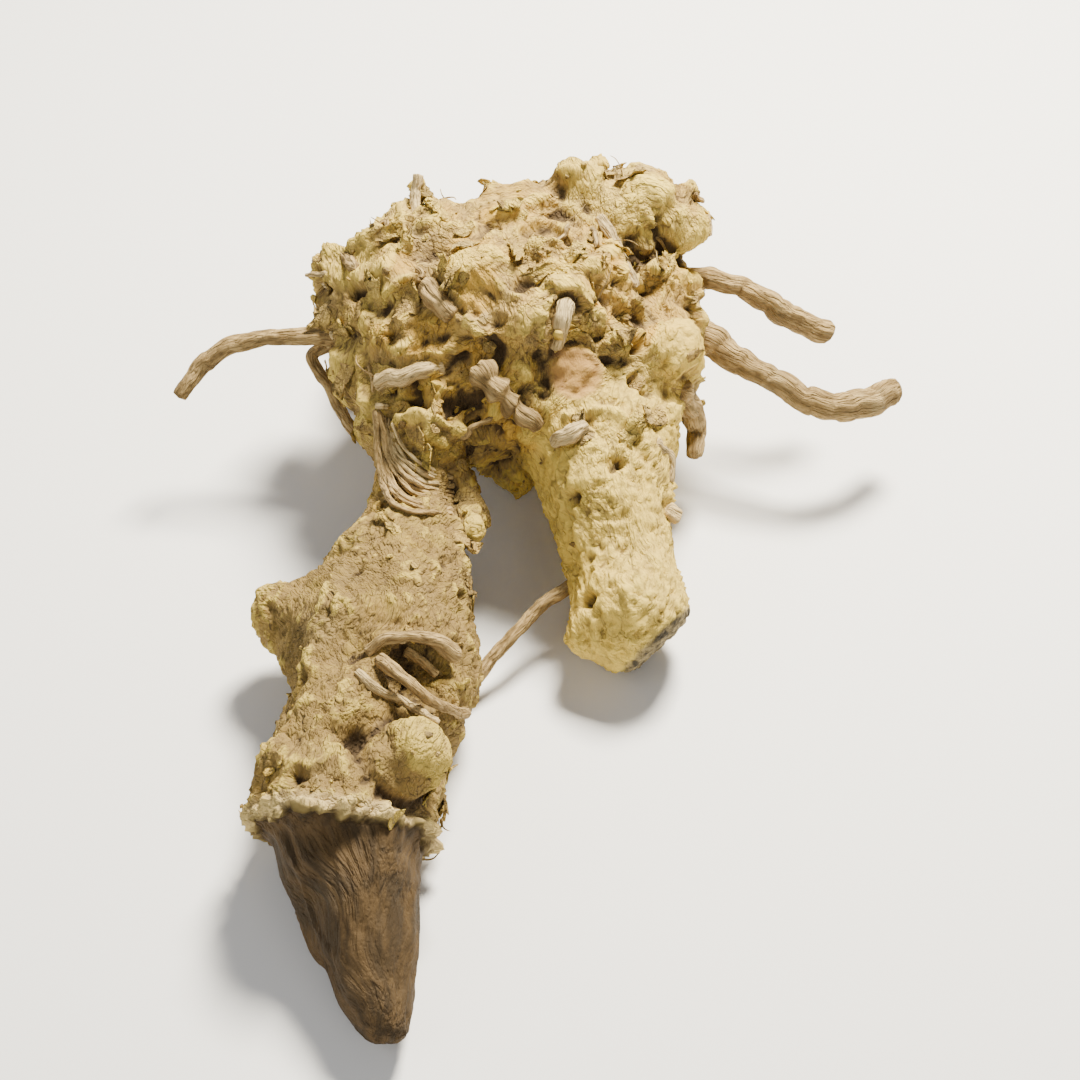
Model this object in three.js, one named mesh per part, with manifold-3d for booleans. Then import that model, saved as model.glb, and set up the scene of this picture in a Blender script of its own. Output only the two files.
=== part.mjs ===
// A dried rhizome of black turmeric (Curcuma caesia), lying on a table.
// One plant part that grew as one body: a knobbly crown, a stout finger with a broken end, a longer branch
// that ends in a bare stump, and the thin roots and root stubs that stand on them.
// Units are millimetres. +X is to the viewer's right, +Y away from the viewer, +Z up.
// The origin is on the table, in the middle of the flat spot under the crown.
import * as THREE from 'three';
import { ImprovedNoise } from 'three/addons/math/ImprovedNoise.js';
import { MarchingCubes } from 'three/addons/objects/MarchingCubes.js';
import { mergeVertices } from 'three/addons/utils/BufferGeometryUtils.js';
import Module from 'manifold-3d';

const wasm = await Module();
wasm.setup();

// The viewer looks down on the rhizome at this angle. Places are given as that viewer sees them:
// right of the crown's middle, up the view from it, and height over the table.
const LOOK_DOWN = THREE.MathUtils.degToRad(44);
const CROWN_HEIGHT = 14;

// The grown body is drawn from its distance field on a grid of cells this wide, inside this box.
// A grid corner nearer to the skin than SNAP counts as on it, which leaves out sliver faces.
const CELL = 1.5;
const SNAP = 0.25;
const GRID = 128;
const REACH = new THREE.Box3(new THREE.Vector3(-27, -74, -3), new THREE.Vector3(24, 29, 34));

// Relief of the skin: domed warts, broad folds and small wrinkles, as size across and depth.
const WARTS = { across: 4.6, deep: 2.1, share: 0.45 };
const FOLDS = { across: 7.5, deep: 0.9 };
const WRINKLES = { across: 3.0, deep: 0.45 };

// How softly one part runs into the next, in millimetres.
const SOFT = { lobe: 2.6, branch: 2.2, rim: 1.4, bud: 0.9, chip: 0.6, hollow: 1.0 };

// Lobes of the crown: [right, up, height, [half width, half depth, half height]].
const CROWN_LOBES = [
  [0.0, 0.8, 14.4, [13.6, 11.8, 10.8]],
  [-11.9, 4.7, 16.8, [5.8, 5.8, 5.6]],
  [-5.6, 8.6, 19.4, [6.8, 5.6, 5.2]],
  [3.6, 11.0, 20.6, [6.2, 5.0, 4.9]],
  [11.4, 12.2, 21.0, [5.8, 5.4, 5.2]],
  [12.8, 3.6, 15.2, [5.2, 5.8, 6.0]],
  [12.0, -3.4, 12.2, [5.0, 5.2, 6.0]],
  [2.0, 2.6, 6.0, [10.2, 9.2, 6.6]],
  [-6.0, 7.6, 10.0, [8.2, 7.2, 7.0]],
  [8.8, 9.8, 12.0, [7.4, 7.4, 7.4]],
  [0.0, -8.0, 2.6, [5.0, 5.0, 5.0]],
];

// Rows of a branch: [right, up, height, radius]. A rim is the plane where a branch's skin stops short.
const RING_LOBE = {
  rough: 0.3,
  rows: [[-7.0, 0.5, 14.5, 8.4], [-8.4, -6.0, 12.2, 5.6], [-8.0, -10.6, 10.2, 4.3], [-8.1, -14.8, 8.0, 3.2]],
};
const LONG_BRANCH = {
  rough: 0.5,
  rim: { right: -13.2, up: -41.6, height: 6.4, turn: -6, lean: 26 },
  rows: [[-8.2, -13.8, 8.4, 3.2], [-8.8, -18.6, 8.0, 5.0], [-10.0, -24.1, 7.2, 7.4], [-10.2, -30.2, 7.0, 7.5],
    [-11.8, -35.0, 6.9, 7.2], [-13.0, -40.0, 6.7, 7.3], [-13.6, -44.0, 6.5, 7.2]],
};
const STUMP = {
  rough: 0.2,
  rows: [[-13.2, -39.0, 5.9, 6.1], [-12.5, -42.8, 5.7, 6.0], [-11.5, -46.6, 4.9, 5.2], [-10.4, -50.4, 4.1, 4.1],
    [-9.3, -53.6, 3.2, 2.9], [-9.0, -55.2, 2.9, 2.4]],
};
const STUMP_RIDGE = {
  rough: 0.2,
  rows: [[-9.6, -38.8, 9.0, 2.0], [-10.0, -43.4, 9.3, 1.7], [-10.9, -48.0, 7.7, 1.4], [-10.6, -53.0, 5.2, 1.0]],
};
const SIDE_ARM = {
  rough: 0.5,
  rows: [[-11.0, -26.4, 8.6, 5.4], [-15.6, -25.2, 7.4, 4.6], [-19.0, -24.5, 6.4, 3.5]],
};
const FINGER = {
  rough: 0.3,
  rows: [[6.6, -4.2, 12.6, 7.0], [8.7, -11.9, 10.6, 5.9], [9.5, -16.2, 8.6, 5.2], [10.4, -20.0, 6.8, 4.9],
    [11.2, -24.2, 5.4, 5.2]],
};
const BRANCHES = [RING_LOBE, LONG_BRANCH, STUMP, STUMP_RIDGE, SIDE_ARM, FINGER];
const CURVE_STEPS = 14;

// Round buds and knobs that stand out of the skin: [right, up, radius, how far they are sunk].
const BUDS = [
  [16.6, 11.4, 2.3, 0.8],
  [-16.4, 6.9, 2.4, 1.0],
  [-17.0, 2.6, 2.0, 1.0],
  [-6.9, -34.9, 3.5, -1.2],
  [-18.6, -35.4, 1.9, 0.4],
  [5.9, 15.6, 2.6, 1.6],
  [-12.0, 9.4, 2.4, 1.2],
  [-1.5, 6.4, 2.8, 1.4],
  [7.4, 7.6, 2.7, 1.4],
  [-10.6, 0.6, 2.6, 1.3],
  [0.8, 1.8, 2.2, 1.2],
  [13.4, 6.2, 2.4, 1.2],
  [13.6, -7.4, 2.3, 1.2],
  [-6.2, -7.8, 2.7, 0.6],
  [6.9, -26.0, 1.8, 0.9],
];

// Small chips of skin and broken stubs scattered over the crown.
const CHIPS = { count: 60, smallest: 0.9, largest: 2.0, lowest: -0.8, sunk: 0.15, seed: 29 };

// A hollow in the long branch, where its own roots stand.
const HOLLOW = { right: -6.2, up: -28.2, radius: 3.4, lift: 1.3 };

// Thin roots that stand free: rows of [right, up, height, radius].
const FREE_ROOTS = [
  [[13.6, 7.2, 14.6, 1.4], [18.6, 7.1, 16.2, 1.05], [22.4, 6.2, 15.2, 1.0], [25.6, 4.3, 13.8, 1.15],
    [28.2, 2.9, 12.0, 1.1], [30.8, 1.9, 10.6, 1.2]],
  [[14.0, 3.2, 13.6, 2.4], [18.6, 1.2, 13.2, 1.7], [22.0, -1.0, 12.2, 1.3], [25.8, -3.3, 11.0, 1.2],
    [29.1, -5.0, 9.8, 1.3], [33.2, -4.8, 8.9, 1.4], [37.0, -3.3, 8.3, 1.25]],
  [[-13.6, 1.5, 15.0, 1.1], [-18.8, 1.3, 15.2, 0.85], [-22.8, 1.1, 14.9, 0.8], [-26.2, 0.2, 13.9, 0.85],
    [-29.0, -1.8, 12.2, 0.8], [-30.8, -4.4, 10.4, 0.65]],
  [[-14.4, 0.9, 14.2, 0.8], [-18.2, -0.2, 13.2, 0.65], [-16.4, -3.8, 10.8, 0.6], [-14.2, -7.6, 9.4, 0.6],
    [-11.0, -9.6, 9.2, 0.6]],
  [[8.2, -20.6, 5.4, 0.8], [4.0, -22.8, 5.0, 0.62], [1.0, -25.6, 4.2, 0.6], [-1.4, -28.2, 3.0, 0.6],
    [-3.2, -30.6, 1.6, 0.65]],
];

// Root stubs and strands that lie on the skin: rows of [right, up, lift off the skin, radius].
const STUBS = [
  [[-8.5, 11.0, -1.2, 0.8], [-8.4, 14.0, 0.6, 0.65], [-8.3, 16.4, 1.8, 0.6]],
  [[5.5, 4.4, -1.2, 1.0], [5.0, 1.8, 0.9, 0.85], [4.4, -0.6, 1.9, 0.75]],
  [[8.0, 13.0, -0.8, 0.8], [9.9, 9.5, 0.3, 0.7], [11.9, 5.1, 0.2, 0.65]],
  [[-2.6, -2.2, -0.6, 1.8], [-0.8, -4.2, 0.7, 1.5], [1.2, -5.9, 0.6, 1.25], [3.2, -8.0, -0.2, 1.1]],
  [[4.0, -9.2, 0.5, 0.9], [7.2, -7.4, 0.0, 0.85]],
  [[-11.9, -3.6, 0.2, 0.95], [-8.7, -2.7, 0.5, 0.9], [-5.4, -1.9, -0.4, 0.9]],
  [[-7.6, 5.4, -0.4, 1.3], [-4.6, 1.9, 0.3, 1.1]],
  [[-4.4, -10.2, -1.0, 1.9], [-3.4, -14.0, 1.0, 1.5], [-2.6, -17.6, 1.6, 0.7]],
  [[15.4, -3.2, -1.2, 1.5], [17.6, -6.8, 0.4, 1.2], [17.2, -10.2, 0.6, 0.8]],
  [[14.0, -14.8, -0.8, 0.8], [15.6, -15.6, 0.6, 0.8]],
  [[-10.7, -27.0, -0.4, 0.8], [-8.0, -29.0, 1.4, 0.65], [-5.4, -31.0, 1.6, 0.6], [-3.0, -32.2, 1.2, 0.6]],
  [[-11.6, -27.2, -0.6, 0.7], [-9.7, -25.6, 0.8, 0.65], [-6.8, -25.6, 1.4, 0.7], [-3.6, -27.2, 1.6, 1.0]],
];
// Strands of old sheath that sweep down round the lobe above the long branch, in the same rows.
const STRANDS = [
  [[-11.3, -10.4, -0.3, 0.55], [-10.4, -13.2, 0.1, 0.6], [-8.2, -14.5, 0.2, 0.6], [-5.6, -14.4, -0.3, 0.55]],
  [[-10.6, -8.9, -0.3, 0.6], [-9.7, -11.6, 0.1, 0.65], [-7.8, -13.0, 0.1, 0.65], [-5.2, -13.2, -0.3, 0.55]],
  [[-9.2, -8.4, -0.3, 0.55], [-8.3, -10.6, 0.2, 0.6], [-6.5, -11.8, 0.2, 0.6], [-4.4, -11.6, -0.3, 0.5]],
  [[-12.4, -5.4, -0.3, 0.6], [-11.6, -8.2, 0.1, 0.65], [-10.0, -10.2, 0.1, 0.6], [-8.6, -11.9, -0.3, 0.5]],
];
// Stubs that point straight out of the crown, on the sides the viewer can't see: [turn, rise, length, radius].
// Turn is round from the viewer's right and rise is up from level, both in degrees.
const SPOKES = [[62, 24, 3.4, 1.0], [98, 2, 2.6, 1.4], [128, 38, 2.2, 0.9], [158, -8, 3.0, 1.0], [24, -14, 2.6, 1.2]];
// A round scar where a root broke off the crown, as a low plug.
const SCAR = { right: 6.2, up: -2.8, radius: 2.5, thick: 1.4, lift: 0.3 };
// The finger's broken end, as a plane: a place on it, its turn from facing the viewer and its lean downwards.
const BREAK = { right: 13.9, up: -26.4, height: 5.0, turn: 50, lean: 26 };
const BREAK_BLOCK = 22;
// The table: what would reach into it is worn flat.
const TABLE = { across: 300, thick: 30 };

// A place seen by the viewer, as a point over the table.
function seen(right, up, height) {
  const rise = (height - CROWN_HEIGHT) * Math.cos(LOOK_DOWN);
  return new THREE.Vector3(right, (up - rise) / Math.sin(LOOK_DOWN), height);
}

// A repeatable number from 0 to 1 for each whole-number place and seed.
function draw(x, y, z, seed) {
  const wave = Math.sin(x * 127.1 + y * 311.7 + z * 74.7 + seed * 53.3) * 43758.5453;
  return wave - Math.floor(wave);
}

// How near p is to the closest of many scattered points: 1 on a point, 0 a cell away.
function dome(p, across) {
  const cell = [p.x, p.y, p.z].map((value) => Math.floor(value / across));
  let nearest = 1;
  for (let step = 0; step < 27; step++) {
    const x = cell[0] + (step % 3) - 1;
    const y = cell[1] + (Math.floor(step / 3) % 3) - 1;
    const z = cell[2] + Math.floor(step / 9) - 1;
    const gap = Math.hypot(
      x + draw(x, y, z, 1) - p.x / across,
      y + draw(x, y, z, 2) - p.y / across,
      z + draw(x, y, z, 3) - p.z / across);
    nearest = Math.min(nearest, gap);
  }
  return 1 - nearest;
}

// Height of the skin's relief at a place.
const perlin = new ImprovedNoise();
function relief(p) {
  const warts = WARTS.deep * (dome(p, WARTS.across) - WARTS.share);
  const folds = FOLDS.deep * perlin.noise(p.x / FOLDS.across, p.y / FOLDS.across, p.z / FOLDS.across);
  const fine = perlin.noise(p.x / WRINKLES.across + 9, p.y / WRINKLES.across, p.z / WRINKLES.across);
  return warts + folds + WRINKLES.deep * fine;
}

// Distance from p to a ball stretched to its half sizes.
function ballGap(p, middle, halves) {
  const from = p.clone().sub(middle).divide(halves);
  const size = from.length();
  return (size * (size - 1)) / Math.max(from.divide(halves).length(), 1e-9);
}

// Distance from p to a rod whose radius runs evenly from one end's to the other's.
function rodGap(p, start, end, startRadius, endRadius) {
  const along = end.clone().sub(start);
  const from = p.clone().sub(start);
  const share = THREE.MathUtils.clamp(from.dot(along) / along.lengthSq(), 0, 1);
  return from.addScaledVector(along, -share).length() - THREE.MathUtils.lerp(startRadius, endRadius, share);
}

// Joins one more part to those so far, rounding the crease between them, and mixes their roughness alike.
function grow(sofar, gap, rough, soft) {
  const share = THREE.MathUtils.clamp(0.5 + (0.5 * (sofar.gap - gap)) / soft, 0, 1);
  return {
    gap: THREE.MathUtils.lerp(sofar.gap, gap, share) - soft * share * (1 - share),
    rough: THREE.MathUtils.lerp(sofar.rough, rough, share),
  };
}

// The rods of a branch, along a smooth curve through its rows.
function rodsOf({ rows, rough, rim }) {
  const path = new THREE.CatmullRomCurve3(rows.map((row) => seen(...row)));
  const radii = new THREE.SplineCurve(rows.map((row, index) => new THREE.Vector2(index, row[3])));
  const shares = Array.from({ length: CURVE_STEPS + 1 }, (_, step) => step / CURVE_STEPS);
  return shares.slice(1).map((share, index) => ({
    start: path.getPoint(shares[index]),
    end: path.getPoint(share),
    startRadius: radii.getPoint(shares[index]).y,
    endRadius: radii.getPoint(share).y,
    rough,
    rim: rim && planeOf(rim),
  }));
}

// A plane from a place on it, how far it is turned from facing the viewer and how far it leans downwards.
function planeOf({ right, up, height, turn, lean }) {
  const facing = new THREE.Vector3(0, -1, 0)
    .applyAxisAngle(new THREE.Vector3(1, 0, 0), THREE.MathUtils.degToRad(lean))
    .applyAxisAngle(new THREE.Vector3(0, 0, 1), THREE.MathUtils.degToRad(turn));
  return new THREE.Plane().setFromNormalAndCoplanarPoint(facing, seen(right, up, height));
}

// Farther than anything here reaches.
const FAR = 1000;
const lobes = CROWN_LOBES.map(([right, up, height, halves]) => (
  { middle: seen(right, up, height), halves: new THREE.Vector3(...halves) }));
const branches = BRANCHES.map(rodsOf);

// The crown and the branches, before their buds.
function bulk(p) {
  let near = { gap: FAR, rough: 1 };
  for (const { middle, halves } of lobes) near = grow(near, ballGap(p, middle, halves), 1, SOFT.lobe);
  for (const rods of branches) {
    const gap = Math.min(...rods.map((rod) => rodGap(p, rod.start, rod.end, rod.startRadius, rod.endRadius)));
    const { rim, rough } = rods[0];
    near = grow(near, rim ? Math.max(gap, rim.distanceToPoint(p)) : gap, rough, rim ? SOFT.rim : SOFT.branch);
  }
  return near;
}

// Walks from a point along a direction until it meets the bulk's skin, or stops where it came closest.
const WALK = { steps: 90, near: 0.02, pace: 0.7 };
function meet(start, direction) {
  const place = start.clone();
  const closest = { gap: FAR, place: start };
  for (let step = 0; step < WALK.steps && closest.gap > WALK.near; step++) {
    const near = bulk(place);
    const gap = near.gap - near.rough * relief(place);
    if (gap < closest.gap) Object.assign(closest, { gap, place: place.clone() });
    place.addScaledVector(direction, gap * WALK.pace);
  }
  return closest.place.clone();
}

// The place on the skin that the viewer sees there, lifted towards the viewer.
const SIGHT = new THREE.Vector3(0, Math.cos(LOOK_DOWN), -Math.sin(LOOK_DOWN));
function onSkin(right, up, lift) {
  return meet(seen(right, up, 45), SIGHT).addScaledVector(SIGHT, -lift);
}

const buds = BUDS.map(([right, up, radius, sunk]) => (
  { middle: onSkin(right, up, -sunk), halves: new THREE.Vector3(radius, radius, radius) }));

// A chip lies on a line out of the crown's middle, part sunk in the skin.
function chip(index) {
  const at = (axis) => draw(index, axis, 0, CHIPS.seed);
  const rise = THREE.MathUtils.lerp(CHIPS.lowest, 1, at(1));
  const turn = 2 * Math.PI * at(2);
  const flat = Math.sqrt(1 - rise * rise);
  const inward = new THREE.Vector3(-flat * Math.cos(turn), -flat * Math.sin(turn), -rise);
  const middle = meet(lobes[0].middle.clone().addScaledVector(inward, -40), inward);
  const size = THREE.MathUtils.lerp(CHIPS.smallest, CHIPS.largest, at(3) ** 2);
  const halves = [4, 5, 6].map((axis) => size * THREE.MathUtils.lerp(0.7, 1.4, at(axis)));
  return { middle: middle.addScaledVector(inward, CHIPS.sunk * size), halves: new THREE.Vector3(...halves) };
}
const chips = Array.from({ length: CHIPS.count }, (_, index) => chip(index));
const hollow = {
  middle: onSkin(HOLLOW.right, HOLLOW.up, HOLLOW.lift),
  halves: new THREE.Vector3().setScalar(HOLLOW.radius),
};

// Distance from p to the finished skin, negative inside.
function skinGap(p) {
  let near = bulk(p);
  if (near.gap > 4) return near.gap;
  for (const { middle, halves } of buds) near = grow(near, ballGap(p, middle, halves), 0.6, SOFT.bud);
  for (const { middle, halves } of chips) near = grow(near, ballGap(p, middle, halves), near.rough, SOFT.chip);
  near.gap = -grow({ gap: -near.gap, rough: 1 }, ballGap(p, hollow.middle, hollow.halves), 1, SOFT.hollow).gap;
  return near.gap - near.rough * relief(p);
}

// Draws the skin as a closed shape, by marching cubes through the grid.
function grownShape() {
  const cubes = new MarchingCubes(GRID, undefined, false, false, 60000);
  cubes.isolation = 0;
  cubes.field.fill(-1);
  const low = REACH.min.clone().divideScalar(CELL).addScalar(GRID / 2).round();
  const high = REACH.max.clone().divideScalar(CELL).addScalar(GRID / 2).round();
  for (let z = low.z; z <= high.z; z++) {
    for (let y = low.y; y <= high.y; y++) {
      for (let x = low.x; x <= high.x; x++) {
        const place = new THREE.Vector3(x, y, z).subScalar(GRID / 2).multiplyScalar(CELL);
        const gap = skinGap(place);
        cubes.setCell(x, y, z, Math.abs(gap) < SNAP ? 0 : -gap);
      }
    }
  }
  cubes.update();
  const corners = cubes.positionArray.slice(0, cubes.count * 3).map((value) => value * CELL * (GRID / 2));
  const shape = new THREE.BufferGeometry();
  shape.setAttribute('position', new THREE.BufferAttribute(corners, 3));
  return settled(mergeVertices(shape));
}

// Moves each corner of a shape along the slope of the distance field, onto the skin.
const SETTLE = { probe: 0.25, farthest: 0.45 };
function settled(shape) {
  const corners = shape.attributes.position;
  const place = new THREE.Vector3();
  for (let i = 0; i < corners.count; i++) {
    place.fromBufferAttribute(corners, i);
    const slope = new THREE.Vector3(...['x', 'y', 'z'].map((axis) => {
      const ahead = place.clone();
      const behind = place.clone();
      ahead[axis] += SETTLE.probe;
      behind[axis] -= SETTLE.probe;
      return (skinGap(ahead) - skinGap(behind)) / (2 * SETTLE.probe);
    }));
    const step = slope.multiplyScalar(-skinGap(place) / slope.lengthSq());
    place.add(step.clampLength(0, SETTLE.farthest));
    corners.setXYZ(i, place.x, place.y, place.z);
  }
  return shape;
}

// Merges a three.js shape's shared corners, so that moving them keeps it closed.
function welded(shape) {
  shape.deleteAttribute('normal');
  shape.deleteAttribute('uv');
  return mergeVertices(shape);
}

// A solid that can be joined or cut, from a closed three.js shape. Faces that merged into a line are dropped.
function solid(shape) {
  const corners = Array.from(shape.index.array);
  const faces = [];
  for (let i = 0; i < corners.length; i += 3) {
    const [a, b, c] = corners.slice(i, i + 3);
    if (a !== b && b !== c && c !== a) faces.push(a, b, c);
  }
  return new wasm.Manifold(new wasm.Mesh({
    numProp: 3,
    vertProperties: new Float32Array(shape.attributes.position.array),
    triVerts: new Uint32Array(faces),
  }));
}

// A thin root: a ball's rings carried along a smooth curve through the points, so both ends close.
const ROOT = { sides: 7, stepsPerPoint: 2.5, blunt: 10 };
function rootSolid(points, radii) {
  const steps = Math.round(ROOT.stepsPerPoint * points.length);
  const path = new THREE.CatmullRomCurve3(points);
  const thickness = new THREE.SplineCurve(radii.map((radius, index) => new THREE.Vector2(index, radius)));
  const frames = path.computeFrenetFrames(steps);
  const shape = welded(new THREE.SphereGeometry(1, ROOT.sides, steps));
  const corners = shape.attributes.position;
  for (let i = 0; i < corners.count; i++) {
    const height = THREE.MathUtils.clamp(corners.getY(i), -1, 1);
    const step = Math.round((Math.acos(height) / Math.PI) * steps);
    const turn = Math.atan2(corners.getZ(i), corners.getX(i));
    const share = step / steps;
    const cap = (1 - Math.abs(2 * share - 1) ** ROOT.blunt) ** (1 / ROOT.blunt);
    const radius = thickness.getPoint(share).y * cap;
    const place = path.getPointAt(share)
      .addScaledVector(frames.normals[step], radius * Math.cos(turn))
      .addScaledVector(frames.binormals[step], radius * Math.sin(turn));
    corners.setXYZ(i, place.x, place.y, place.z);
  }
  return solid(shape);
}

// A stub along a line out of the crown's middle.
function spoke([turn, rise, length, radius]) {
  const outward = new THREE.Vector3(1, 0, 0)
    .applyAxisAngle(new THREE.Vector3(0, -1, 0), THREE.MathUtils.degToRad(rise))
    .applyAxisAngle(new THREE.Vector3(0, 0, 1), THREE.MathUtils.degToRad(turn));
  const foot = meet(lobes[0].middle.clone().addScaledVector(outward, 40), outward.clone().negate());
  const points = [-1.5, 0.5 * length, length].map((out) => foot.clone().addScaledVector(outward, out));
  return rootSolid(points, [1.2 * radius, radius, 0.8 * radius]);
}

// The block beyond the finger's broken end.
function brokenOff() {
  const block = welded(new THREE.BoxGeometry(BREAK_BLOCK, BREAK_BLOCK, BREAK_BLOCK));
  const { normal } = planeOf(BREAK);
  const middle = seen(BREAK.right, BREAK.up, BREAK.height).addScaledVector(normal, BREAK_BLOCK / 2);
  block.applyQuaternion(new THREE.Quaternion().setFromUnitVectors(new THREE.Vector3(0, 0, 1), normal));
  block.translate(middle.x, middle.y, middle.z);
  return solid(block);
}

// The low plug that a broken root left.
function scarPlug() {
  const shape = welded(new THREE.SphereGeometry(1, 12, 8));
  shape.scale(SCAR.radius, SCAR.radius, SCAR.thick);
  shape.rotateX(Math.PI / 2 - LOOK_DOWN);
  const middle = onSkin(SCAR.right, SCAR.up, SCAR.lift - SCAR.thick / 2);
  shape.translate(middle.x, middle.y, middle.z);
  return solid(shape);
}

// The block under the table's top.
function tableSolid() {
  const shape = welded(new THREE.BoxGeometry(TABLE.across, TABLE.across, TABLE.thick));
  shape.translate(0, 0, -TABLE.thick / 2);
  return solid(shape);
}

const roots = FREE_ROOTS.map((rows) =>
  rootSolid(rows.map((row) => seen(...row)), rows.map((row) => row[3])));
const stubs = [...STUBS, ...STRANDS].map((rows) =>
  rootSolid(rows.map(([right, up, lift]) => onSkin(right, up, lift)), rows.map((row) => row[3])));

const whole = [scarPlug(), ...roots, ...stubs, ...SPOKES.map(spoke)]
  .reduce((sum, piece) => sum.add(piece), solid(grownShape()).subtract(brokenOff()))
  .subtract(tableSolid());

// Small hollows that the joins sealed are filled, by keeping the outer skin alone.
const outer = whole.decompose().reduce((most, piece) => (piece.volume() > most.volume() ? piece : most));

const { vertProperties, triVerts } = outer.getMesh();
const shape = new THREE.BufferGeometry();
shape.setAttribute('position', new THREE.BufferAttribute(vertProperties, 3));
shape.setIndex(new THREE.BufferAttribute(triVerts, 1));
shape.computeVertexNormals();

const SKIN = { color: new THREE.Color(0.56, 0.44, 0.27), roughness: 0.92, metalness: 0 };
const rhizome = new THREE.Mesh(shape, new THREE.MeshStandardMaterial(SKIN));
rhizome.name = 'rhizome';

const group = new THREE.Group();
group.add(rhizome);
export default group;
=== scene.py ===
"""A dried black turmeric rhizome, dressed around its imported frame.

The script is laid out as an add-on. Sizes are in millimetres until a mesh is made, and metres in Blender.
Places are given as the viewer sees them: right of the crown's middle, up the view from it, and height.
"""
import math

import bmesh
import bpy
import numpy as np
from bpy.props import FloatProperty, FloatVectorProperty, IntProperty, PointerProperty
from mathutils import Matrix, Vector
from mathutils.bvhtree import BVHTree


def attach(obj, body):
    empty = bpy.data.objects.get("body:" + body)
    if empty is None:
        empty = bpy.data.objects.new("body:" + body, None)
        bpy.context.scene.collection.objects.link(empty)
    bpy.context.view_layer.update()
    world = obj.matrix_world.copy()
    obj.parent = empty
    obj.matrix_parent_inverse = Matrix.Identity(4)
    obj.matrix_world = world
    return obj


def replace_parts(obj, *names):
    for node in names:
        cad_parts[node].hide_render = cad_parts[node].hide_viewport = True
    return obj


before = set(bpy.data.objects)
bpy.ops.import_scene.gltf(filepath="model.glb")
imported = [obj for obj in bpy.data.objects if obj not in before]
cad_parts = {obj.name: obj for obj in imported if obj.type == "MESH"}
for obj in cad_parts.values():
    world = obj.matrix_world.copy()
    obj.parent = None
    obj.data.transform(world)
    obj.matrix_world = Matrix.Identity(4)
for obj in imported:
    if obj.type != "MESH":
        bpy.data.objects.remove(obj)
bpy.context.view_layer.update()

bl_info = {
    "name": "Dried rhizome",
    "version": (1, 0, 0),
    "blender": (4, 5, 0),
    "location": "View3D > Sidebar > Rhizome",
    "description": "Dresses a dried rhizome with its skin, crust, rootlets, strands and hairs",
    "category": "Object",
}

BODY = "root"
NODE = "rhizome"
MM = 0.001

# The view that the places below are given in, as in the source of the solid.
LOOK_DOWN = math.radians(44)
CROWN_HEIGHT = 14.0
SIGHT = np.array([0.0, math.cos(LOOK_DOWN), -math.sin(LOOK_DOWN)])
UP_THE_VIEW = np.array([0.0, math.sin(LOOK_DOWN), math.cos(LOOK_DOWN)])

# The limbs' middle lines: rows of [right, up, height, radius].
LIMBS = {
    "lobe": [
        [-7.0, 0.5, 14.5, 8.4], [-8.4, -6.0, 12.2, 5.6], [-8.0, -10.6, 10.2, 4.3], [-8.1, -14.8, 8.0, 3.2],
    ],
    "branch": [
        [-8.2, -13.8, 8.4, 3.2], [-8.8, -18.6, 8.0, 5.0], [-10.0, -24.1, 7.2, 7.4],
        [-10.2, -30.2, 7.0, 7.5], [-11.8, -35.0, 6.9, 7.2], [-13.0, -40.0, 6.7, 7.3],
    ],
    "stump": [
        [-13.0, -40.6, 5.8, 6.1], [-12.5, -42.8, 5.7, 6.0], [-11.5, -46.6, 4.9, 5.2],
        [-10.4, -50.4, 4.1, 4.1], [-9.3, -53.6, 3.2, 2.9], [-9.0, -55.2, 2.9, 2.4],
    ],
    "arm": [[-11.0, -26.4, 8.6, 5.4], [-15.6, -25.2, 7.4, 4.6], [-19.0, -24.5, 6.4, 3.5]],
    "finger": [
        [6.6, -4.2, 12.6, 7.0], [8.7, -11.9, 10.6, 5.9], [9.5, -16.2, 8.6, 5.2],
        [10.4, -20.0, 6.8, 4.9], [11.2, -24.2, 5.4, 5.2],
    ],
}
# The crown's bulk: [right, up, height, half sizes].
CROWN = [
    [0.0, 0.8, 14.4, [13.6, 11.8, 10.8]],
    [2.0, 9.0, 18.0, [12.0, 7.0, 7.6]],
    [8.0, 2.0, 13.0, [9.0, 8.0, 7.0]],
]
# The rim where the branch's skin stops over the stump, and the finger's broken end, as planes.
RIM = {"place": [-13.2, -41.6, 6.4], "turn": -6, "lean": 26}
BREAK = {"place": [13.9, -26.4, 5.0], "turn": 50, "lean": 26}
# The finger is broken from so far short of its plane on, and within so far of the plane's middle.
BREAK_STARTS = (-0.9, -0.4)
BREAK_WITHIN = (13.0, 11.0)
# Nothing reaches higher than this, which keeps the whole inside the solid's box.
HIGHEST = 28.1
# The round scar where a root broke off.
SCAR = {"place": [6.2, -2.8], "radius": 2.5}
# How far one region's skin runs into the next, and how much farther the crown's reaches.
REGION_BLEND = 0.55
CROWN_EXTRA = 0.6
# Between these heights the relief fades to the share that is left at the top.
CALM_TOP = {"from": 21.0, "to": 27.0, "fades": 0.55}
# Surroundings that a hollow is measured against, for the painted shade in hollows and the painted light on
# crests: [rounds of spreading, weight].
SURROUNDINGS = [[4, 2.6], [14, 1.3], [40, 0.7], [120, 0.55]]

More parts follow.
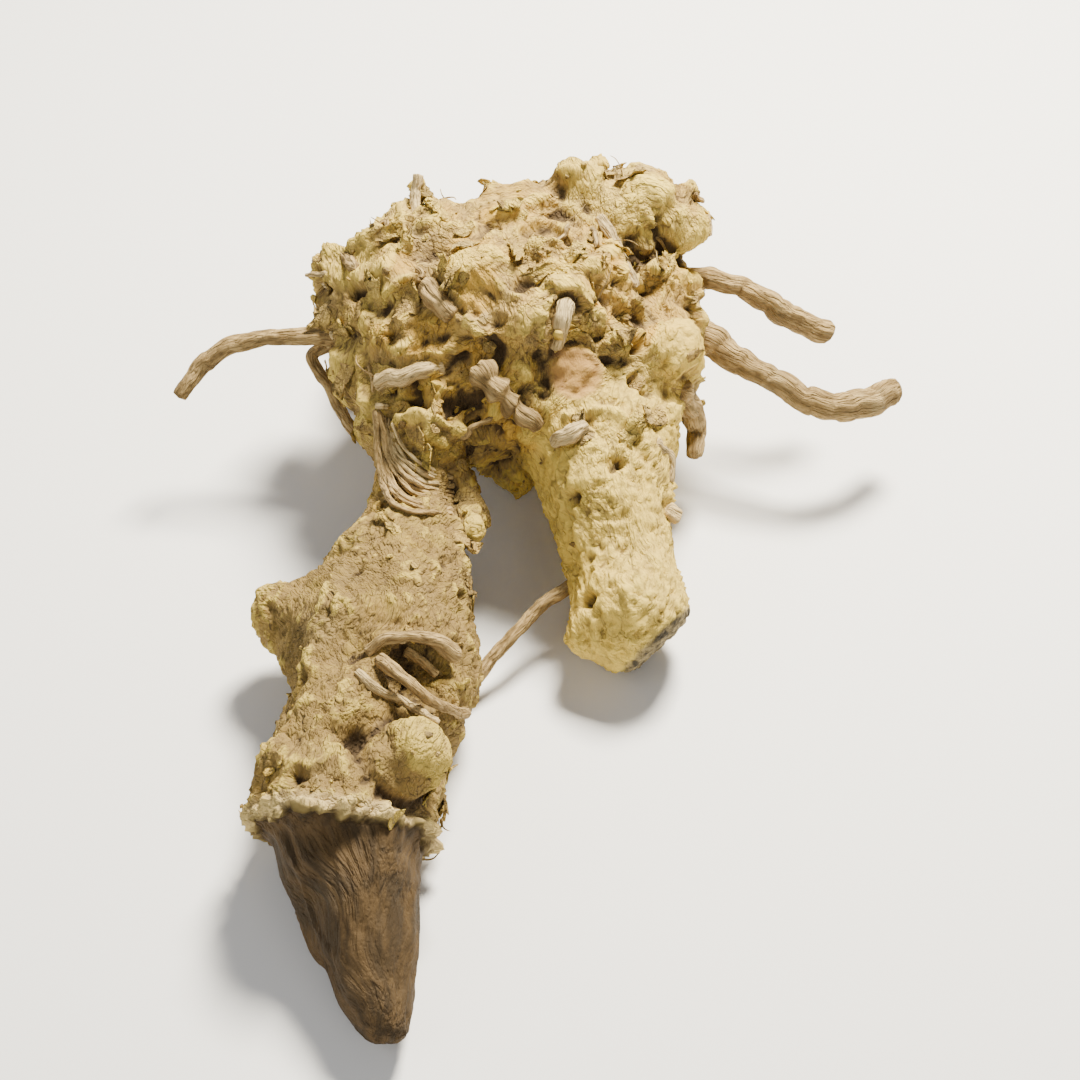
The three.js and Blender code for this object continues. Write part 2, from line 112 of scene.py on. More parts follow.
# Hollows in the skin: [right, up, radius, depth].
PITS = [
    [-6.1, 3.2, 1.3, 1.3], [-8.1, -4.6, 1.6, 1.7], [2.1, 5.1, 1.3, 1.5], [4.9, 8.4, 1.2, 1.3],
    [9.5, 10.5, 1.1, 1.2], [11.8, 0.0, 1.0, 1.5], [4.4, 0.4, 0.9, 1.0], [-3.0, -8.2, 1.3, 1.5],
    [-4.4, -1.5, 1.0, 1.0], [12.0, -3.6, 1.0, 1.3], [10.0, -10.8, 0.9, 0.8], [5.7, -13.9, 0.8, 0.8],
    [7.0, -23.0, 1.1, 1.3], [-12.2, -32.9, 1.4, 1.2], [-3.8, -22.4, 1.0, 1.0], [13.3, 5.7, 1.2, 1.4],
    [-1.0, 1.9, 1.0, 0.9], [-10.5, 1.0, 1.2, 1.0], [-14.3, 5.1, 1.0, 1.0],
    [-9.6, -33.4, 1.0, 0.9], [-16.2, -36.4, 0.9, 0.9], [8.2, 5.0, 0.9, 1.1], [0.2, 9.6, 1.0, 1.0],
]

# Pits at random on the sides that the viewer doesn't see: how many, and the range of their radius and depth.
HIDDEN_PITS = {"count": 40, "size": (0.6, 1.3)}
# Round knobs that stand off the skin: [right, up, radius, depth of the groove round it].
KNOBS = [[-7.4, -34.8, 3.3, 0.9], [16.6, 11.4, 2.4, 0.5], [-17.0, 3.0, 2.2, 0.4]]

# Thin roots that stand free: rows of [right, up, height, radius].
FREE_ROOTS = [
    [[13.0, 7.1, 14.2, 1.4], [18.6, 7.1, 16.2, 1.02], [22.4, 6.2, 15.2, 0.98], [25.6, 4.3, 13.8, 1.12],
     [28.2, 2.9, 12.0, 1.05], [30.7, 1.9, 10.6, 1.15]],
    [[13.4, 3.4, 13.6, 2.3], [18.6, 1.2, 13.2, 1.6], [22.0, -1.0, 12.2, 1.25], [25.8, -3.3, 11.0, 1.15],
     [29.1, -5.0, 9.8, 1.25], [33.2, -4.8, 8.9, 1.35], [36.9, -3.3, 8.3, 1.2]],
    [[-13.0, 1.5, 15.0, 1.0], [-18.8, 1.3, 15.2, 0.82], [-22.8, 1.1, 14.9, 0.78], [-26.2, 0.2, 13.9, 0.82],
     [-29.0, -1.8, 12.2, 0.8], [-30.7, -4.4, 10.4, 0.62]],
    [[-14.0, 1.0, 14.3, 0.75], [-18.2, -0.2, 13.2, 0.6], [-16.4, -3.8, 10.8, 0.56], [-14.2, -7.6, 9.4, 0.56],
     [-10.6, -9.8, 9.2, 0.52]],
    [[8.6, -20.4, 5.5, 0.75], [4.0, -22.8, 5.0, 0.6], [1.0, -25.6, 4.2, 0.56], [-1.4, -28.2, 3.0, 0.56],
     [-3.6, -31.0, 1.5, 0.6]],
]
# How pale each free root is, from 0 to 1.
FREE_ROOT_TONES = [0.5, 0.45, 0.62, 0.4, 0.35]
# Root stubs and twigs: rows of [right, up, lift off the solid's surface, radius]. Those that the solid has
# too are sunk into it by about their radius.
STUBS = [
    [[-8.5, 11.0, -1.4, 0.7], [-8.5, 14.0, 0.4, 0.52], [-8.7, 17.3, 1.2, 0.48]],
    [[5.4, 3.4, -0.6, 0.9], [5.0, 1.8, -0.5, 0.74], [4.4, -0.6, -0.4, 0.62]],
    [[8.4, 12.2, -0.5, 0.62], [9.9, 9.5, -0.4, 0.58], [11.8, 5.4, -0.4, 0.5]],
    [[-2.4, -2.5, -0.8, 1.3], [-1.8, -3.1, -0.6, 1.5], [-1.4, -3.6, -0.5, 0.95], [-0.7, -4.2, -0.5, 1.35],
     [-0.2, -4.7, -0.4, 0.7], [0.5, -5.3, -0.4, 1.2], [1.0, -5.8, -0.3, 0.6], [1.9, -6.7, -0.2, 1.0],
     [3.0, -7.9, -0.1, 0.6]],
    [[4.1, -9.1, 0.1, 0.5], [5.4, -8.3, 0.2, 0.78], [7.1, -7.4, 0.0, 0.6]],
    [[-11.7, -3.6, -0.5, 0.9], [-8.7, -2.7, -0.4, 0.82], [-5.6, -2.0, -0.5, 0.78]],
    [[-7.4, 5.2, -0.6, 1.15], [-6.0, 3.6, -0.5, 1.0], [-4.8, 2.1, -0.5, 0.85]],
    [[15.6, -3.6, -1.2, 1.3], [17.5, -6.8, -0.8, 1.05], [17.2, -10.0, -0.5, 0.62]],
    [[14.2, -14.9, -0.6, 0.75], [15.6, -15.6, -0.5, 0.7]],
    [[-10.4, -27.3, -0.5, 0.62], [-8.0, -29.0, -0.3, 0.5], [-5.4, -31.0, -0.3, 0.46],
     [-3.1, -32.2, -0.3, 0.45]],
    [[-11.4, -27.0, -0.5, 0.6], [-9.7, -25.7, -0.3, 0.5], [-6.8, -25.6, -0.3, 0.52],
     [-3.8, -27.1, -0.5, 0.85]],
    [[-12.1, -28.3, 0.0, 0.42], [-10.6, -29.6, 0.3, 0.4], [-7.6, -31.2, 0.4, 0.36], [-5.2, -32.3, 0.2, 0.3]],
    [[-8.3, -26.8, 0.2, 0.45], [-6.9, -27.6, 0.9, 0.42], [-5.5, -28.9, 1.0, 0.36]],
    [[-13.9, 7.2, -0.2, 0.6], [-15.3, 9.2, 0.3, 0.5]],
    [[13.2, -8.8, -0.2, 0.7], [14.8, -10.4, 0.3, 0.6], [14.9, -12.4, 0.3, 0.5]],
]
# So many of them, from the first, are on the solid too.
SUNK_STUBS = 11
# The stubs that are palest, by their row.
PALE_STUBS = (0, 1, 4)
# Sheath strands that sweep down round the lobe above the branch, side by side between two arcs of places.
STRANDS = {
    "count": 12,
    "radius": (0.15, 0.27),
    "outer": [[-12.0, -5.6], [-11.3, -11.4], [-9.0, -14.8], [-4.8, -15.4]],
    "inner": [[-10.2, -7.0], [-9.3, -9.4], [-7.2, -11.1], [-4.8, -11.7]],
}
# Folds of skin that the viewer sees: [height, half width, the places right and up that each runs through].
FOLDS = [
    [0.9, 1.5, [[-18.2, 9.0], [-13.7, 10.3], [-8.8, 11.5], [-3.4, 13.6]]],
    [0.6, 0.9, [[-11.0, 7.0], [-8.8, 9.8], [-5.7, 12.2]]],
    [0.8, 0.9, [[0.1, 12.4], [3.2, 13.8], [6.4, 12.6], [8.1, 10.3]]],
    [0.7, 0.8, [[0.6, 10.6], [3.7, 11.6], [5.9, 10.0], [6.4, 8.3]]],
    [0.8, 1.0, [[-10.1, -7.3], [-7.4, -6.4], [-4.3, -7.7], [-2.1, -11.3]]],
    [0.7, 0.9, [[14.8, -5.9], [16.0, -9.5], [15.0, -13.9]]],
    [0.8, 1.1, [[-0.8, 7.9], [1.9, 6.5], [4.6, 7.4]]],
    [0.7, 0.9, [[-1.2, 6.1], [0.6, 4.3], [4.1, 5.2]]],
    [0.6, 1.0, [[-10.6, 4.6], [-8.4, 6.2], [-5.4, 5.0], [-4.0, 1.6]]],
    [0.6, 0.9, [[8.6, 5.2], [11.0, 3.4], [12.6, -0.4]]],
    [0.5, 0.8, [[5.4, -6.6], [8.6, -6.0], [11.4, -7.4], [12.8, -10.2]]],
    [0.6, 1.0, [[-12.8, 2.6], [-13.4, -1.6], [-12.4, -5.0]]],
    [1.4, 2.2, [[1.6, -3.0], [2.4, -4.2], [3.4, -5.4]]],
    [1.0, 1.8, [[-8.8, -0.1], [-7.4, -0.6], [-6.2, -1.0]]],
    [0.9, 3.4, [[9.2, 15.2], [12.4, 15.0], [15.4, 12.6]]],
]
# Patches of skin that the viewer sees, as [right, up, radius]: whole ochre ones, whole pale ones, torn ones.
PATCHES = {
    "ochre": [
        [-1.6, 12.2, 1.8], [-3.8, 9.0, 2.4], [-2.4, 4.6, 2.2], [-6.8, 0.6, 2.4], [-9.6, 8.0, 1.8],
        [1.0, -8.2, 2.0], [9.8, 3.2, 2.0], [12.6, 0.8, 1.8], [-12.0, 0.6, 2.0], [-2.6, -1.0, 1.8],
    ],
    "pale": [
        [12.4, 13.4, 4.2], [-14.6, 8.2, 3.2], [16.4, 10.6, 2.6], [7.6, 13.8, 2.6], [-11.6, 3.8, 2.2],
        [-14.8, -1.0, 2.6], [-12.2, -6.6, 2.2],
    ],
    "torn": [
        [3.8, 6.2, 3.0], [9.0, 7.4, 2.2], [-9.4, -6.0, 3.2], [3.2, 0.8, 2.0], [9.4, -1.4, 2.2],
        [14.6, -6.4, 2.2], [-6.2, 3.8, 1.8], [-4.0, -13.0, 2.6],
    ],
}
# Torn flaps of skin: their rows and columns of points and their thickness, and how many lie at random, with
# the ranges of those flaps' length, half width and rise.
FLAP = {"rows": 8, "columns": 7, "thick": 0.12, "count": 60}
FLAP_SIZES = [(1.3, 3.4), (0.5, 1.2), (0.25, 0.8)]
# Flaps at places that the viewer sees: [right, up, the way they point in degrees, length, half width, rise].
FLAPS = [
    [-9.2, 11.4, 200, 3.4, 1.1, 0.7], [-5.2, 11.8, 150, 3.0, 0.9, 0.6], [-3.0, 9.4, 250, 2.6, 1.2, 0.8],
    [-4.8, 7.0, 290, 2.8, 1.2, 0.9], [1.4, 9.2, 230, 3.2, 1.2, 0.9], [4.6, 6.6, 200, 2.6, 1.0, 0.9],
    [8.8, 9.8, 310, 3.0, 0.9, 0.7], [-9.2, 2.8, 100, 3.0, 1.3, 0.9], [-5.6, 5.4, 60, 2.4, 1.0, 0.9],
    [-10.8, -6.4, 20, 3.4, 1.2, 0.8], [-8.2, -8.0, 330, 3.6, 1.1, 0.9], [-6.0, -6.4, 80, 2.6, 1.0, 0.8],
    [13.4, 6.8, 250, 3.0, 1.0, 0.8], [14.4, -6.4, 200, 3.4, 1.0, 0.9], [2.4, -8.4, 110, 2.6, 0.9, 0.7],
    [10.4, -9.0, 60, 2.8, 1.0, 0.8], [7.4, -8.8, 120, 2.4, 0.9, 0.6], [9.6, 2.4, 300, 3.0, 1.1, 1.0],
    [6.2, 0.8, 160, 2.4, 1.0, 0.8], [11.8, -2.4, 230, 3.0, 1.2, 1.0], [-3.4, -12.8, 280, 3.8, 1.3, 0.9],
    [-1.6, -14.6, 250, 3.0, 1.0, 0.7], [-4.6, -17.0, 320, 2.6, 0.9, 0.7], [-3.0, -20.4, 300, 2.6, 0.9, 0.7],
    [17.2, -7.6, 290, 3.4, 1.1, 0.8], [-16.2, 3.4, 190, 2.6, 1.1, 0.8], [-14.6, -1.6, 250, 2.8, 1.0, 0.8],
]
# Each kind of thin root: its sides and rings, and its wrinkles' depth and how far it wanders in radii.
TUBES = {
    "free": [22, 120, 0.11, 0.2],
    "stub": [16, 44, 0.15, 0.25],
    "strand": [9, 50, 0.2, 0.3],
    "worm": [9, 16, 0.2, 0.5],
    "hair": [5, 12, 0.1, 0.25],
}
# Short dead roots scattered over the crown: how many, and their sizes from least to most.
WORMS = {"count": 50, "radius": (0.16, 0.42), "length": (1.2, 3.4)}
# Hairs: their sizes from least to most, with the rise as a share of the length.
HAIR = {"length": (0.9, 2.9), "rise": (0.05, 0.5), "radius": (0.05, 0.11)}
# Crumbs and flakes: [the shape that each ball is drawn to, how far it is sunk, how far it curls, seed].
CRUST = {
    "crust_crumbs": [(1.0, 0.8, 0.6), 0.15, 0.0, 301],
    "crust_flakes": [(1.25, 0.85, 0.14), 0.05, 0.3, 303],
}

# Lights that face the rhizome: [place, width, power, colour], and the sky.
LIGHTS = {
    "key": [(70, 115, 240), 80, 4.3, (1.0, 0.94, 0.81)],
    "fill": [(-240, -160, 200), 260, 0.42, (0.96, 0.98, 1.0)],
    "front": [(60, -300, 160), 240, 0.36, (1.0, 0.98, 0.95)],
}
LIGHT_TARGET = (0, -22, 8)
SKY = {"colour": (0.86, 0.88, 0.92), "strength": 0.21}
# The middle of the picture, as [right, up, height].
CAMERA_TARGET = [3.0, -17.6, 9.0]
FLOOR_HALF = 3000


def seen(rows):
    """Places given as right, up and height, as points over the table. What is up the view is part height and
    part depth."""
    right, up, height = np.asarray(rows, float)[..., :3].T
    depth = (up - (height - CROWN_HEIGHT) * math.cos(LOOK_DOWN)) / math.sin(LOOK_DOWN)
    return np.stack([right, depth, height], axis=-1)


def place_lines(tree, all_rows):
    """Rows of right, up, lift and radius, as lines of x, y, z and radius over the solid."""
    return [np.array([[*on_skin(tree, right, up, lift), radius] for right, up, lift, radius in rows])
            for rows in all_rows]


def smooth(low, high, values):
    """Runs from 0 at low to 1 at high, level at both ends."""
    share = np.clip((values - low) / (high - low), 0, 1)
    return share * share * (3 - 2 * share)


def unit(vectors):
    """Vectors of length 1, along the last axis."""
    return vectors / np.maximum(np.linalg.norm(vectors, axis=-1, keepdims=True), 1e-12)


def past_plane(points, plane):
    """How far each point lies past a plane, which faces the viewer, leant down and then turned."""
    lean = math.radians(plane["lean"])
    turn = math.radians(plane["turn"])
    outward = np.array([math.cos(lean) * math.sin(turn), -math.cos(lean) * math.cos(turn), -math.sin(lean)])
    return (points - seen(plane["place"])) @ outward


# Large odd numbers that mix a place's three coordinates, and the last row of a table of random numbers.
STEPS = np.array([73856093, 19349663, 83492791])
TABLE = 65535


def keys_of(low):
    """Whole-number places, and those one step below and above, mixed axis by axis for a table of numbers."""
    return [(low + step) * STEPS for step in (-1, 0, 1)]


def table(seed):
    """Repeatable rows of four numbers from 0 to 1, one row for each mixed place."""
    return np.random.default_rng(seed).random((TABLE + 1, 4), np.float32)


def row_of(rows, keys, offset):
    """The table's row for the place at this offset, each part of which is -1, 0 or 1."""
    x, y, z = (keys[step + 1][:, axis] for axis, step in enumerate(offset))
    return rows[(x ^ y ^ z) & TABLE]


def noise(points, size, seed):
    """Smooth noise, about -1 to 1: random slopes at the corners of cubes of this size, blended between."""
    at = points / size
    low = np.floor(at)
    part = at - low
    blend = part**3 * (part * (part * 6 - 15) + 10)
    keys = keys_of(low.astype(np.int64))
    rows = table(seed)
    total = np.zeros(len(points))
    for corner in np.ndindex(2, 2, 2):
        share = np.prod(np.where(corner, blend, 1 - blend), axis=-1)
        slope = row_of(rows, keys, corner)[:, :3] * 2 - 1
        total += share * np.sum(slope * (part - corner), axis=-1)
    return 1.7 * total


def layers(points, size, count, seed):
    """Noise with finer noise on it: each layer is half the size and half the height of the one before."""
    return sum(noise(points, size / 2**level, seed + 7 * level) / 2**level for level in range(count))


def billows(points, size, count, seed):
    """Round lumps with sharp creases between: the sizes of layered noise, about -0.5 in a crease and 1 on
    top."""
    heights = 0
    for level in range(count):
        heights = heights + 2.6 * np.abs(noise(points, size / 2**level, seed + 7 * level)) / 2**level
    return heights - 0.6


def cells(points, size, seed):
    """How far, in cells, each place is from the nearest and the second nearest of scattered points, and the
    nearest one's own random number."""
    at = points / size
    low = np.floor(at)
    part = at - low
    keys = keys_of(low.astype(np.int64))
    rows = table(seed)
    near = np.full(len(points), 9.0)
    second = near.copy()
    tag = np.zeros(len(points))
    for offset in np.ndindex(3, 3, 3):
        row = row_of(rows, keys, np.array(offset) - 1)
        gap = np.linalg.norm(part - row[:, :3] - np.array(offset) + 1, axis=-1)
        closer = gap < near
        second = np.where(closer, near, np.minimum(second, gap))
        tag = np.where(closer, row[:, 3], tag)
        near = np.where(closer, gap, near)
    return near, second, tag


def warped(points, size, amount, seed):
    """Points pushed about by noise, so that a pattern worked out at them isn't regular."""
    push = np.stack([noise(points, size, seed + 11 * axis) for axis in range(3)], axis=-1)
    return points + amount * push


def stretched(points, direction, times):
    """Points drawn together along a direction, so that noise at them runs long that way."""
    along = points @ direction
    return points - np.outer(along, direction) * (1 - 1 / times)


def smooth_line(points, count):
    """A Catmull-Rom curve through the points, as count points evenly spread along it."""
    points = np.asarray(points, float)
    padded = np.vstack([2 * points[0] - points[1], points, 2 * points[-1] - points[-2]])
    share = np.linspace(0, len(points) - 1, 8 * count)
    index = np.minimum(share.astype(int), len(points) - 2)
    t = (share - index)[:, None]
    a, b, c, d = (padded[index + step] for step in range(4))
    curve = 0.5 * (2 * b + (c - a) * t + (2 * a - 5 * b + 4 * c - d) * t**2 + (3 * b - a - 3 * c + d) * t**3)
    length = np.r_[0, np.cumsum(np.linalg.norm(np.diff(curve[:, :3], axis=0), axis=1))]
    even = np.linspace(0, length[-1], count)
    return np.stack([np.interp(even, length, column) for column in curve.T], axis=-1)


def limb_line(name):
    """A limb's middle line as many points over the table, with the radius as a fourth column."""
    rows = np.asarray(LIMBS[name], float)
    return smooth_line(np.column_stack([seen(rows), rows[:, 3]]), 40)


def limb_gap(points, line):
    """Distance from each point to a limb's round surface: to the nearest of its line's short rods."""
    best = np.full(len(points), 1e3)
    for start, end in zip(line[:-1], line[1:]):
        along = end[:3] - start[:3]
        share = np.clip((points - start[:3]) @ along / (along @ along), 0, 1)
        from_line = np.linalg.norm(points - start[:3] - share[:, None] * along, axis=1)
        best = np.minimum(best, from_line - start[3] - share * (end[3] - start[3]))
    return best


def crown_gap(points):
    """Distance from each point to the crown's bulk: to the nearest of its stretched balls."""
    best = np.full(len(points), 1e3)
    for *place, halves in CROWN:
        size = np.linalg.norm((points - seen(place)) / halves, axis=1)
        best = np.minimum(best, (size - 1) * min(halves))
    return best


def region_shares(points):
    """How much each point belongs to the crown and to each limb, adding up to 1: the nearer, the more."""
    gaps = {"crown": crown_gap(points) - CROWN_EXTRA}
    gaps.update({name: limb_gap(points, limb_line(name)) for name in LIMBS})
    weights = {name: np.exp(-gap / REGION_BLEND) for name, gap in gaps.items()}
    total = sum(weights.values())
    shares = {name: weight / total for name, weight in weights.items()}
    ragged = 0.9 * noise(points, 2.2, 61) + 0.5 * noise(points, 0.9, 62)
    past_rim = smooth(-0.2, 0.3, past_plane(points, RIM) + ragged)
    moved = (shares["branch"] + shares["stump"]) * past_rim
    shares["branch"] = shares["branch"] + shares["stump"] - moved
    shares["stump"] = moved
    return shares


def limb_way(name):
    """The direction that a limb runs in, from its first row to its last."""
    line = limb_line(name)
    return unit(line[-1, :3] - line[0, :3])


def knobs(points, size, seed):
    """Round knobs of uneven height with valleys between: 1 on the tallest top, less than 0 in a valley."""
    near, second, tag = cells(points, size, seed)
    round_top = np.sqrt(np.clip(1 - (near / 0.85) ** 2, 0, 1)) * (0.4 + 0.8 * tag)
    valley = 1 - smooth(0.02, 0.24, second - near)
    return round_top - 0.55 - 0.55 * valley


def ledges(points, size, seed):
    """Layers of skin that lift at an edge: a slow climb, then a sharp drop."""
    climb = 2.4 * layers(points, size, 3, seed)
    share = climb - np.floor(climb)
    return share - smooth(0.86, 1.0, share) - 0.43


def creases(points, size, seed):
    """Thin raised wrinkles: 1 on a crest, falling to about -1 between them."""
    return 1 - 3.2 * np.abs(layers(points, size, 3, seed))


def cracks(points, size, width, seed):
    """Thin cracks where slow noise passes zero: 1 in a crack and 0 off it."""
    return smooth(width, 0.2 * width, np.abs(layers(points, size, 3, seed)))


def torn_share(points):
    """Where the crown's skin is torn and crumbly, 1, and where it lies whole and wrinkled, 0."""
    return smooth(-0.22, 0.2, noise(points, 6.4, 13) + 0.3 * noise(points, 2.4, 14))


# In the sums of the next functions, the number before each kind of relief is its height in millimetres, and
# the number after its points is its width.


def crown_relief(points, torn):
    """The crown's skin: soft lumps all over, with torn layers and crumbs where torn is 1, and whole skin
    with fine wrinkles where it is 0."""
    at = warped(points, 4.6, 1.5, 3)
    flow = stretched(warped(points, 9.0, 3.4, 4), UP_THE_VIEW, 3.0)
    rough = 0.55 * billows(at, 2.8, 2, 17) + 0.6 * ledges(at, 4.6, 23)
    whole = 0.2 * creases(flow, 1.5, 29) + 0.24 * ledges(flow, 3.8, 25)
    return (
        1.25 * billows(at, 7.0, 1, 11) + 0.35 * billows(at, 3.6, 1, 12) - 0.3
        + torn * rough
        + (1 - torn) * whole
        + 0.08 * creases(warped(points, 2.0, 0.5, 6), 0.9, 31)
        - 0.55 * cracks(at, 3.4, 0.05, 33) * torn
    )


def branch_relief(points, name):
    """The branch's skin: low lumps, grains, wrinkles along it, torn edges and small pits."""
    at = warped(points, 3.0, 0.9, 5)
    long = stretched(at, limb_way(name), 2.6)
    near, _, tag = cells(points, 1.6, 41)
    return (
        0.6 * layers(at, 4.6, 2, 37)
        + 0.15 * creases(long, 1.4, 39)
        + 0.26 * ledges(at, 4.2, 43)
        + 0.1 * billows(at, 1.5, 2, 45)
        - 0.4 * smooth(0.36, 0.1, near) * (tag > 0.6)
        - 0.3 * cracks(at, 2.8, 0.045, 47)
    )


def finger_relief(points):
    """The finger's skin: a net of fine wrinkles, long folds, a few cracks and pits."""
    way = limb_way("finger")
    at = warped(points, 2.6, 0.8, 7)
    long = stretched(at, way, 3.4)
    across = stretched(at, way, 0.4)
    dent, _, tag = cells(points, 2.4, 53)
    return (
        0.26 * layers(stretched(at, way, 1.8), 4.6, 2, 55)
        + 0.15 * creases(long, 1.3, 57)
        + 0.09 * creases(across, 1.9, 58)
        + 0.17 * ledges(across, 4.4, 51)
        - 0.5 * smooth(0.3, 0.08, dent) * (tag > 0.85)
        - 0.3 * cracks(long, 2.4, 0.05, 59)
    )


def stump_relief(points):
    """The bare stump: fine grooves and a few low ridges, all along it."""
    way = limb_way("stump")
    at = warped(points, 5.0, 0.6, 9)
    return (
        0.15 * creases(stretched(at, way, 9.0), 3.0, 63)
        + 0.05 * creases(stretched(at, way, 12.0), 0.9, 65)
        + 0.3 * noise(at, 5.0, 67)
        - 0.14
    )


def skin_relief(points, shares, torn):
    """How far the skin stands out at each point: each region's own relief, mixed by its share."""
    crown = crown_relief(points, torn)
    relief = shares["crown"] * crown
    relief += shares["lobe"] * (0.5 * crown + 0.3 * branch_relief(points, "lobe"))
    relief += (shares["branch"] + shares["arm"]) * branch_relief(points, "branch")
    relief += shares["finger"] * finger_relief(points)
    relief += shares["stump"] * stump_relief(points)
    frayed = shares["branch"] * smooth(-3.4, -0.6, past_plane(points, RIM))
    fringe = 0.5 * billows(points, 1.9, 3, 69) + 0.5 * ledges(points, 1.6, 70)
    return relief * (1 - 0.5 * frayed) + frayed * fringe


# How many times the grain is drawn together along each limb.
GRAIN = {"lobe": 1.8, "branch": 1.5, "arm": 1.5, "finger": 3.0, "stump": 8.0}


def grain_places(points, shares):
    """Where each point is along the grain: drawn together along its limb, and up the view on the crown."""
    bent = warped(points, 7.0, 1.6, 81)
    flow = shares["crown"][:, None] * stretched(warped(points, 8.0, 3.0, 4), UP_THE_VIEW, 1.9)
    for name, times in GRAIN.items():
        flow += shares[name][:, None] * stretched(bent, limb_way(name), times)
    return flow


def patch_share(points, tree, rows):
    """How much each point lies in one of the patches that the viewer sees."""
    share = np.zeros(len(points))
    uneven = warped(points, 2.2, 0.7, 83)
    for right, up, radius in rows:
        away = np.linalg.norm(uneven - on_skin(tree, right, up), axis=1) / radius
        share = np.maximum(share, smooth(1.25, 0.7, away))
    return share


def fold_height(points, tree):
    """How far the folds stand up at each point: most on a fold's line, uneven along it, and creased."""
    height = np.zeros(len(points))
    uneven = 1 + 0.5 * noise(points, 1.8, 85)
    crease = 0.14 * creases(points, 1.1, 87)
    for high, width, places in FOLDS:
        line = smooth_line([on_skin(tree, right, up) for right, up in places], 12)
        gap = limb_gap(points, np.column_stack([line, 0 * line[:, 0]]))
        height = np.maximum(height, (high * uneven + crease) * smooth(width, 0.15 * width, gap))
    return height


def pit_depth(points, places):
    """How deep the hollows go at each point: each is deepest in its middle and has a steep wall."""
    depth = np.zeros(len(points))
    for place, radius, deep in places:
        away = np.linalg.norm(points - place, axis=1) / radius
        depth = np.maximum(depth, 1.3 * deep * smooth(1.35, 0.4, away))
    return depth


# Meshes


def new_object(name, points, faces, smooth_faces=True):
    """A mesh object from points in millimetres and lists of corners, at the origin and in metres."""
    mesh = bpy.data.meshes.new(name)
    mesh.from_pydata((np.asarray(points) * MM).tolist(), [], faces)
    mesh.polygons.foreach_set("use_smooth", np.full(len(mesh.polygons), smooth_faces))
    mesh.update()
    thing = bpy.data.objects.new(name, mesh)
    bpy.context.scene.collection.objects.link(thing)
    return thing


def dress(thing, material):
    """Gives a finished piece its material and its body."""
    thing.data.materials.clear()
    thing.data.materials.append(material)
    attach(thing, BODY)
    return thing


def put_value(thing, name, values):
    """Stores a number for each point of a mesh, for its material to read."""
    attribute = thing.data.attributes.new(name, "FLOAT", "POINT")
    attribute.data.foreach_set("value", np.asarray(values, np.float32))


def put_flow(thing, vectors):
    """Stores a place for each point of a mesh, in millimetres, drawn together along the skin's grain."""
    attribute = thing.data.attributes.new("flow", "FLOAT_VECTOR", "POINT")
    attribute.data.foreach_set("vector", np.asarray(vectors, np.float32).ravel())


def even_mesh(voxel):
    """The solid's surface, merged and rebuilt from even faces. Returns its points in millimetres and its
    four-sided faces."""
    source = bpy.data.objects.new("skin_source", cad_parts[NODE].data.copy())
    bpy.context.scene.collection.objects.link(source)
    work = bmesh.new()
    work.from_mesh(source.data)
    bmesh.ops.remove_doubles(work, verts=work.verts, dist=0.005 * MM)
    work.to_mesh(source.data)
    work.free()
    remesh = source.modifiers.new("even", "REMESH")
    remesh.mode = "VOXEL"
    remesh.voxel_size = voxel * MM
    made = source.evaluated_get(bpy.context.evaluated_depsgraph_get()).to_mesh()
    points = np.zeros(3 * len(made.vertices))
    made.vertices.foreach_get("co", points)
    corners = np.zeros(len(made.loops), int)
    made.loops.foreach_get("vertex_index", corners)
    bpy.data.objects.remove(source)
    return points.reshape(-1, 3) / MM, corners.reshape(-1, 4)


def spread(values, links, count):
    """The mean of a value over each point's neighbours."""
    ends = np.concatenate([links[:, 0], links[:, 1]])
    others = np.concatenate([links[:, 1], links[:, 0]])
    degree = np.maximum(np.bincount(ends, minlength=count), 1)
    if values.ndim == 1:
        return np.bincount(ends, values[others], count) / degree
    totals = [np.bincount(ends, column[others], count) for column in values.T]
    return np.stack(totals, axis=-1) / degree[:, None]


def links_of(faces):
    """Each edge of four-sided faces once, as pairs of points."""
    pairs = np.concatenate([faces[:, [0, 1]], faces[:, [1, 2]], faces[:, [2, 3]], faces[:, [3, 0]]])
    return np.unique(np.sort(pairs, axis=1), axis=0)


def normals_of(points, faces):
    """The outward direction at each point: the sum of its faces' own, by area."""
    a, b, c, d = (points[faces[:, corner]] for corner in range(4))
    across = np.cross(c - a, d - b)
    total = np.zeros_like(points)
    for corner in range(4):
        for axis in range(3):
            total[:, axis] += np.bincount(faces[:, corner], across[:, axis], len(points))
    return unit(total)


def relaxed(points, links, rounds):
    """Points moved half way to their neighbours' middle, some rounds over, which takes the facets off."""
    for _ in range(rounds):
        points = points + 0.5 * (spread(points, links, len(points)) - points)
    return points


def tree_of(thing):
    """A search tree of a mesh, in metres."""
    corners = [tuple(face.vertices) for face in thing.data.polygons]
    return BVHTree.FromPolygons([v.co.copy() for v in thing.data.vertices], corners)


# Sight lines start at this height. One that misses the skin is tried at these steps from there.
START_HEIGHT = 60.0
REACH_STEPS = np.arange(30.0, 110.0, 2.0)


def on_skin(tree, right, up, lift=0.0):
    """The place on the skin that the viewer sees there, lifted towards the viewer. Where the sight line
    misses the skin, it is the place nearest to that line."""
    start = seen([right, up, START_HEIGHT])
    hit = tree.ray_cast(Vector(start * MM), Vector(SIGHT))[0]
    if hit is None:
        passes = [tree.find_nearest(Vector((start + SIGHT * step) * MM)) for step in REACH_STEPS]
        hit = min(passes, key=lambda found: found[3])[0]
    return np.array(hit) / MM - SIGHT * lift


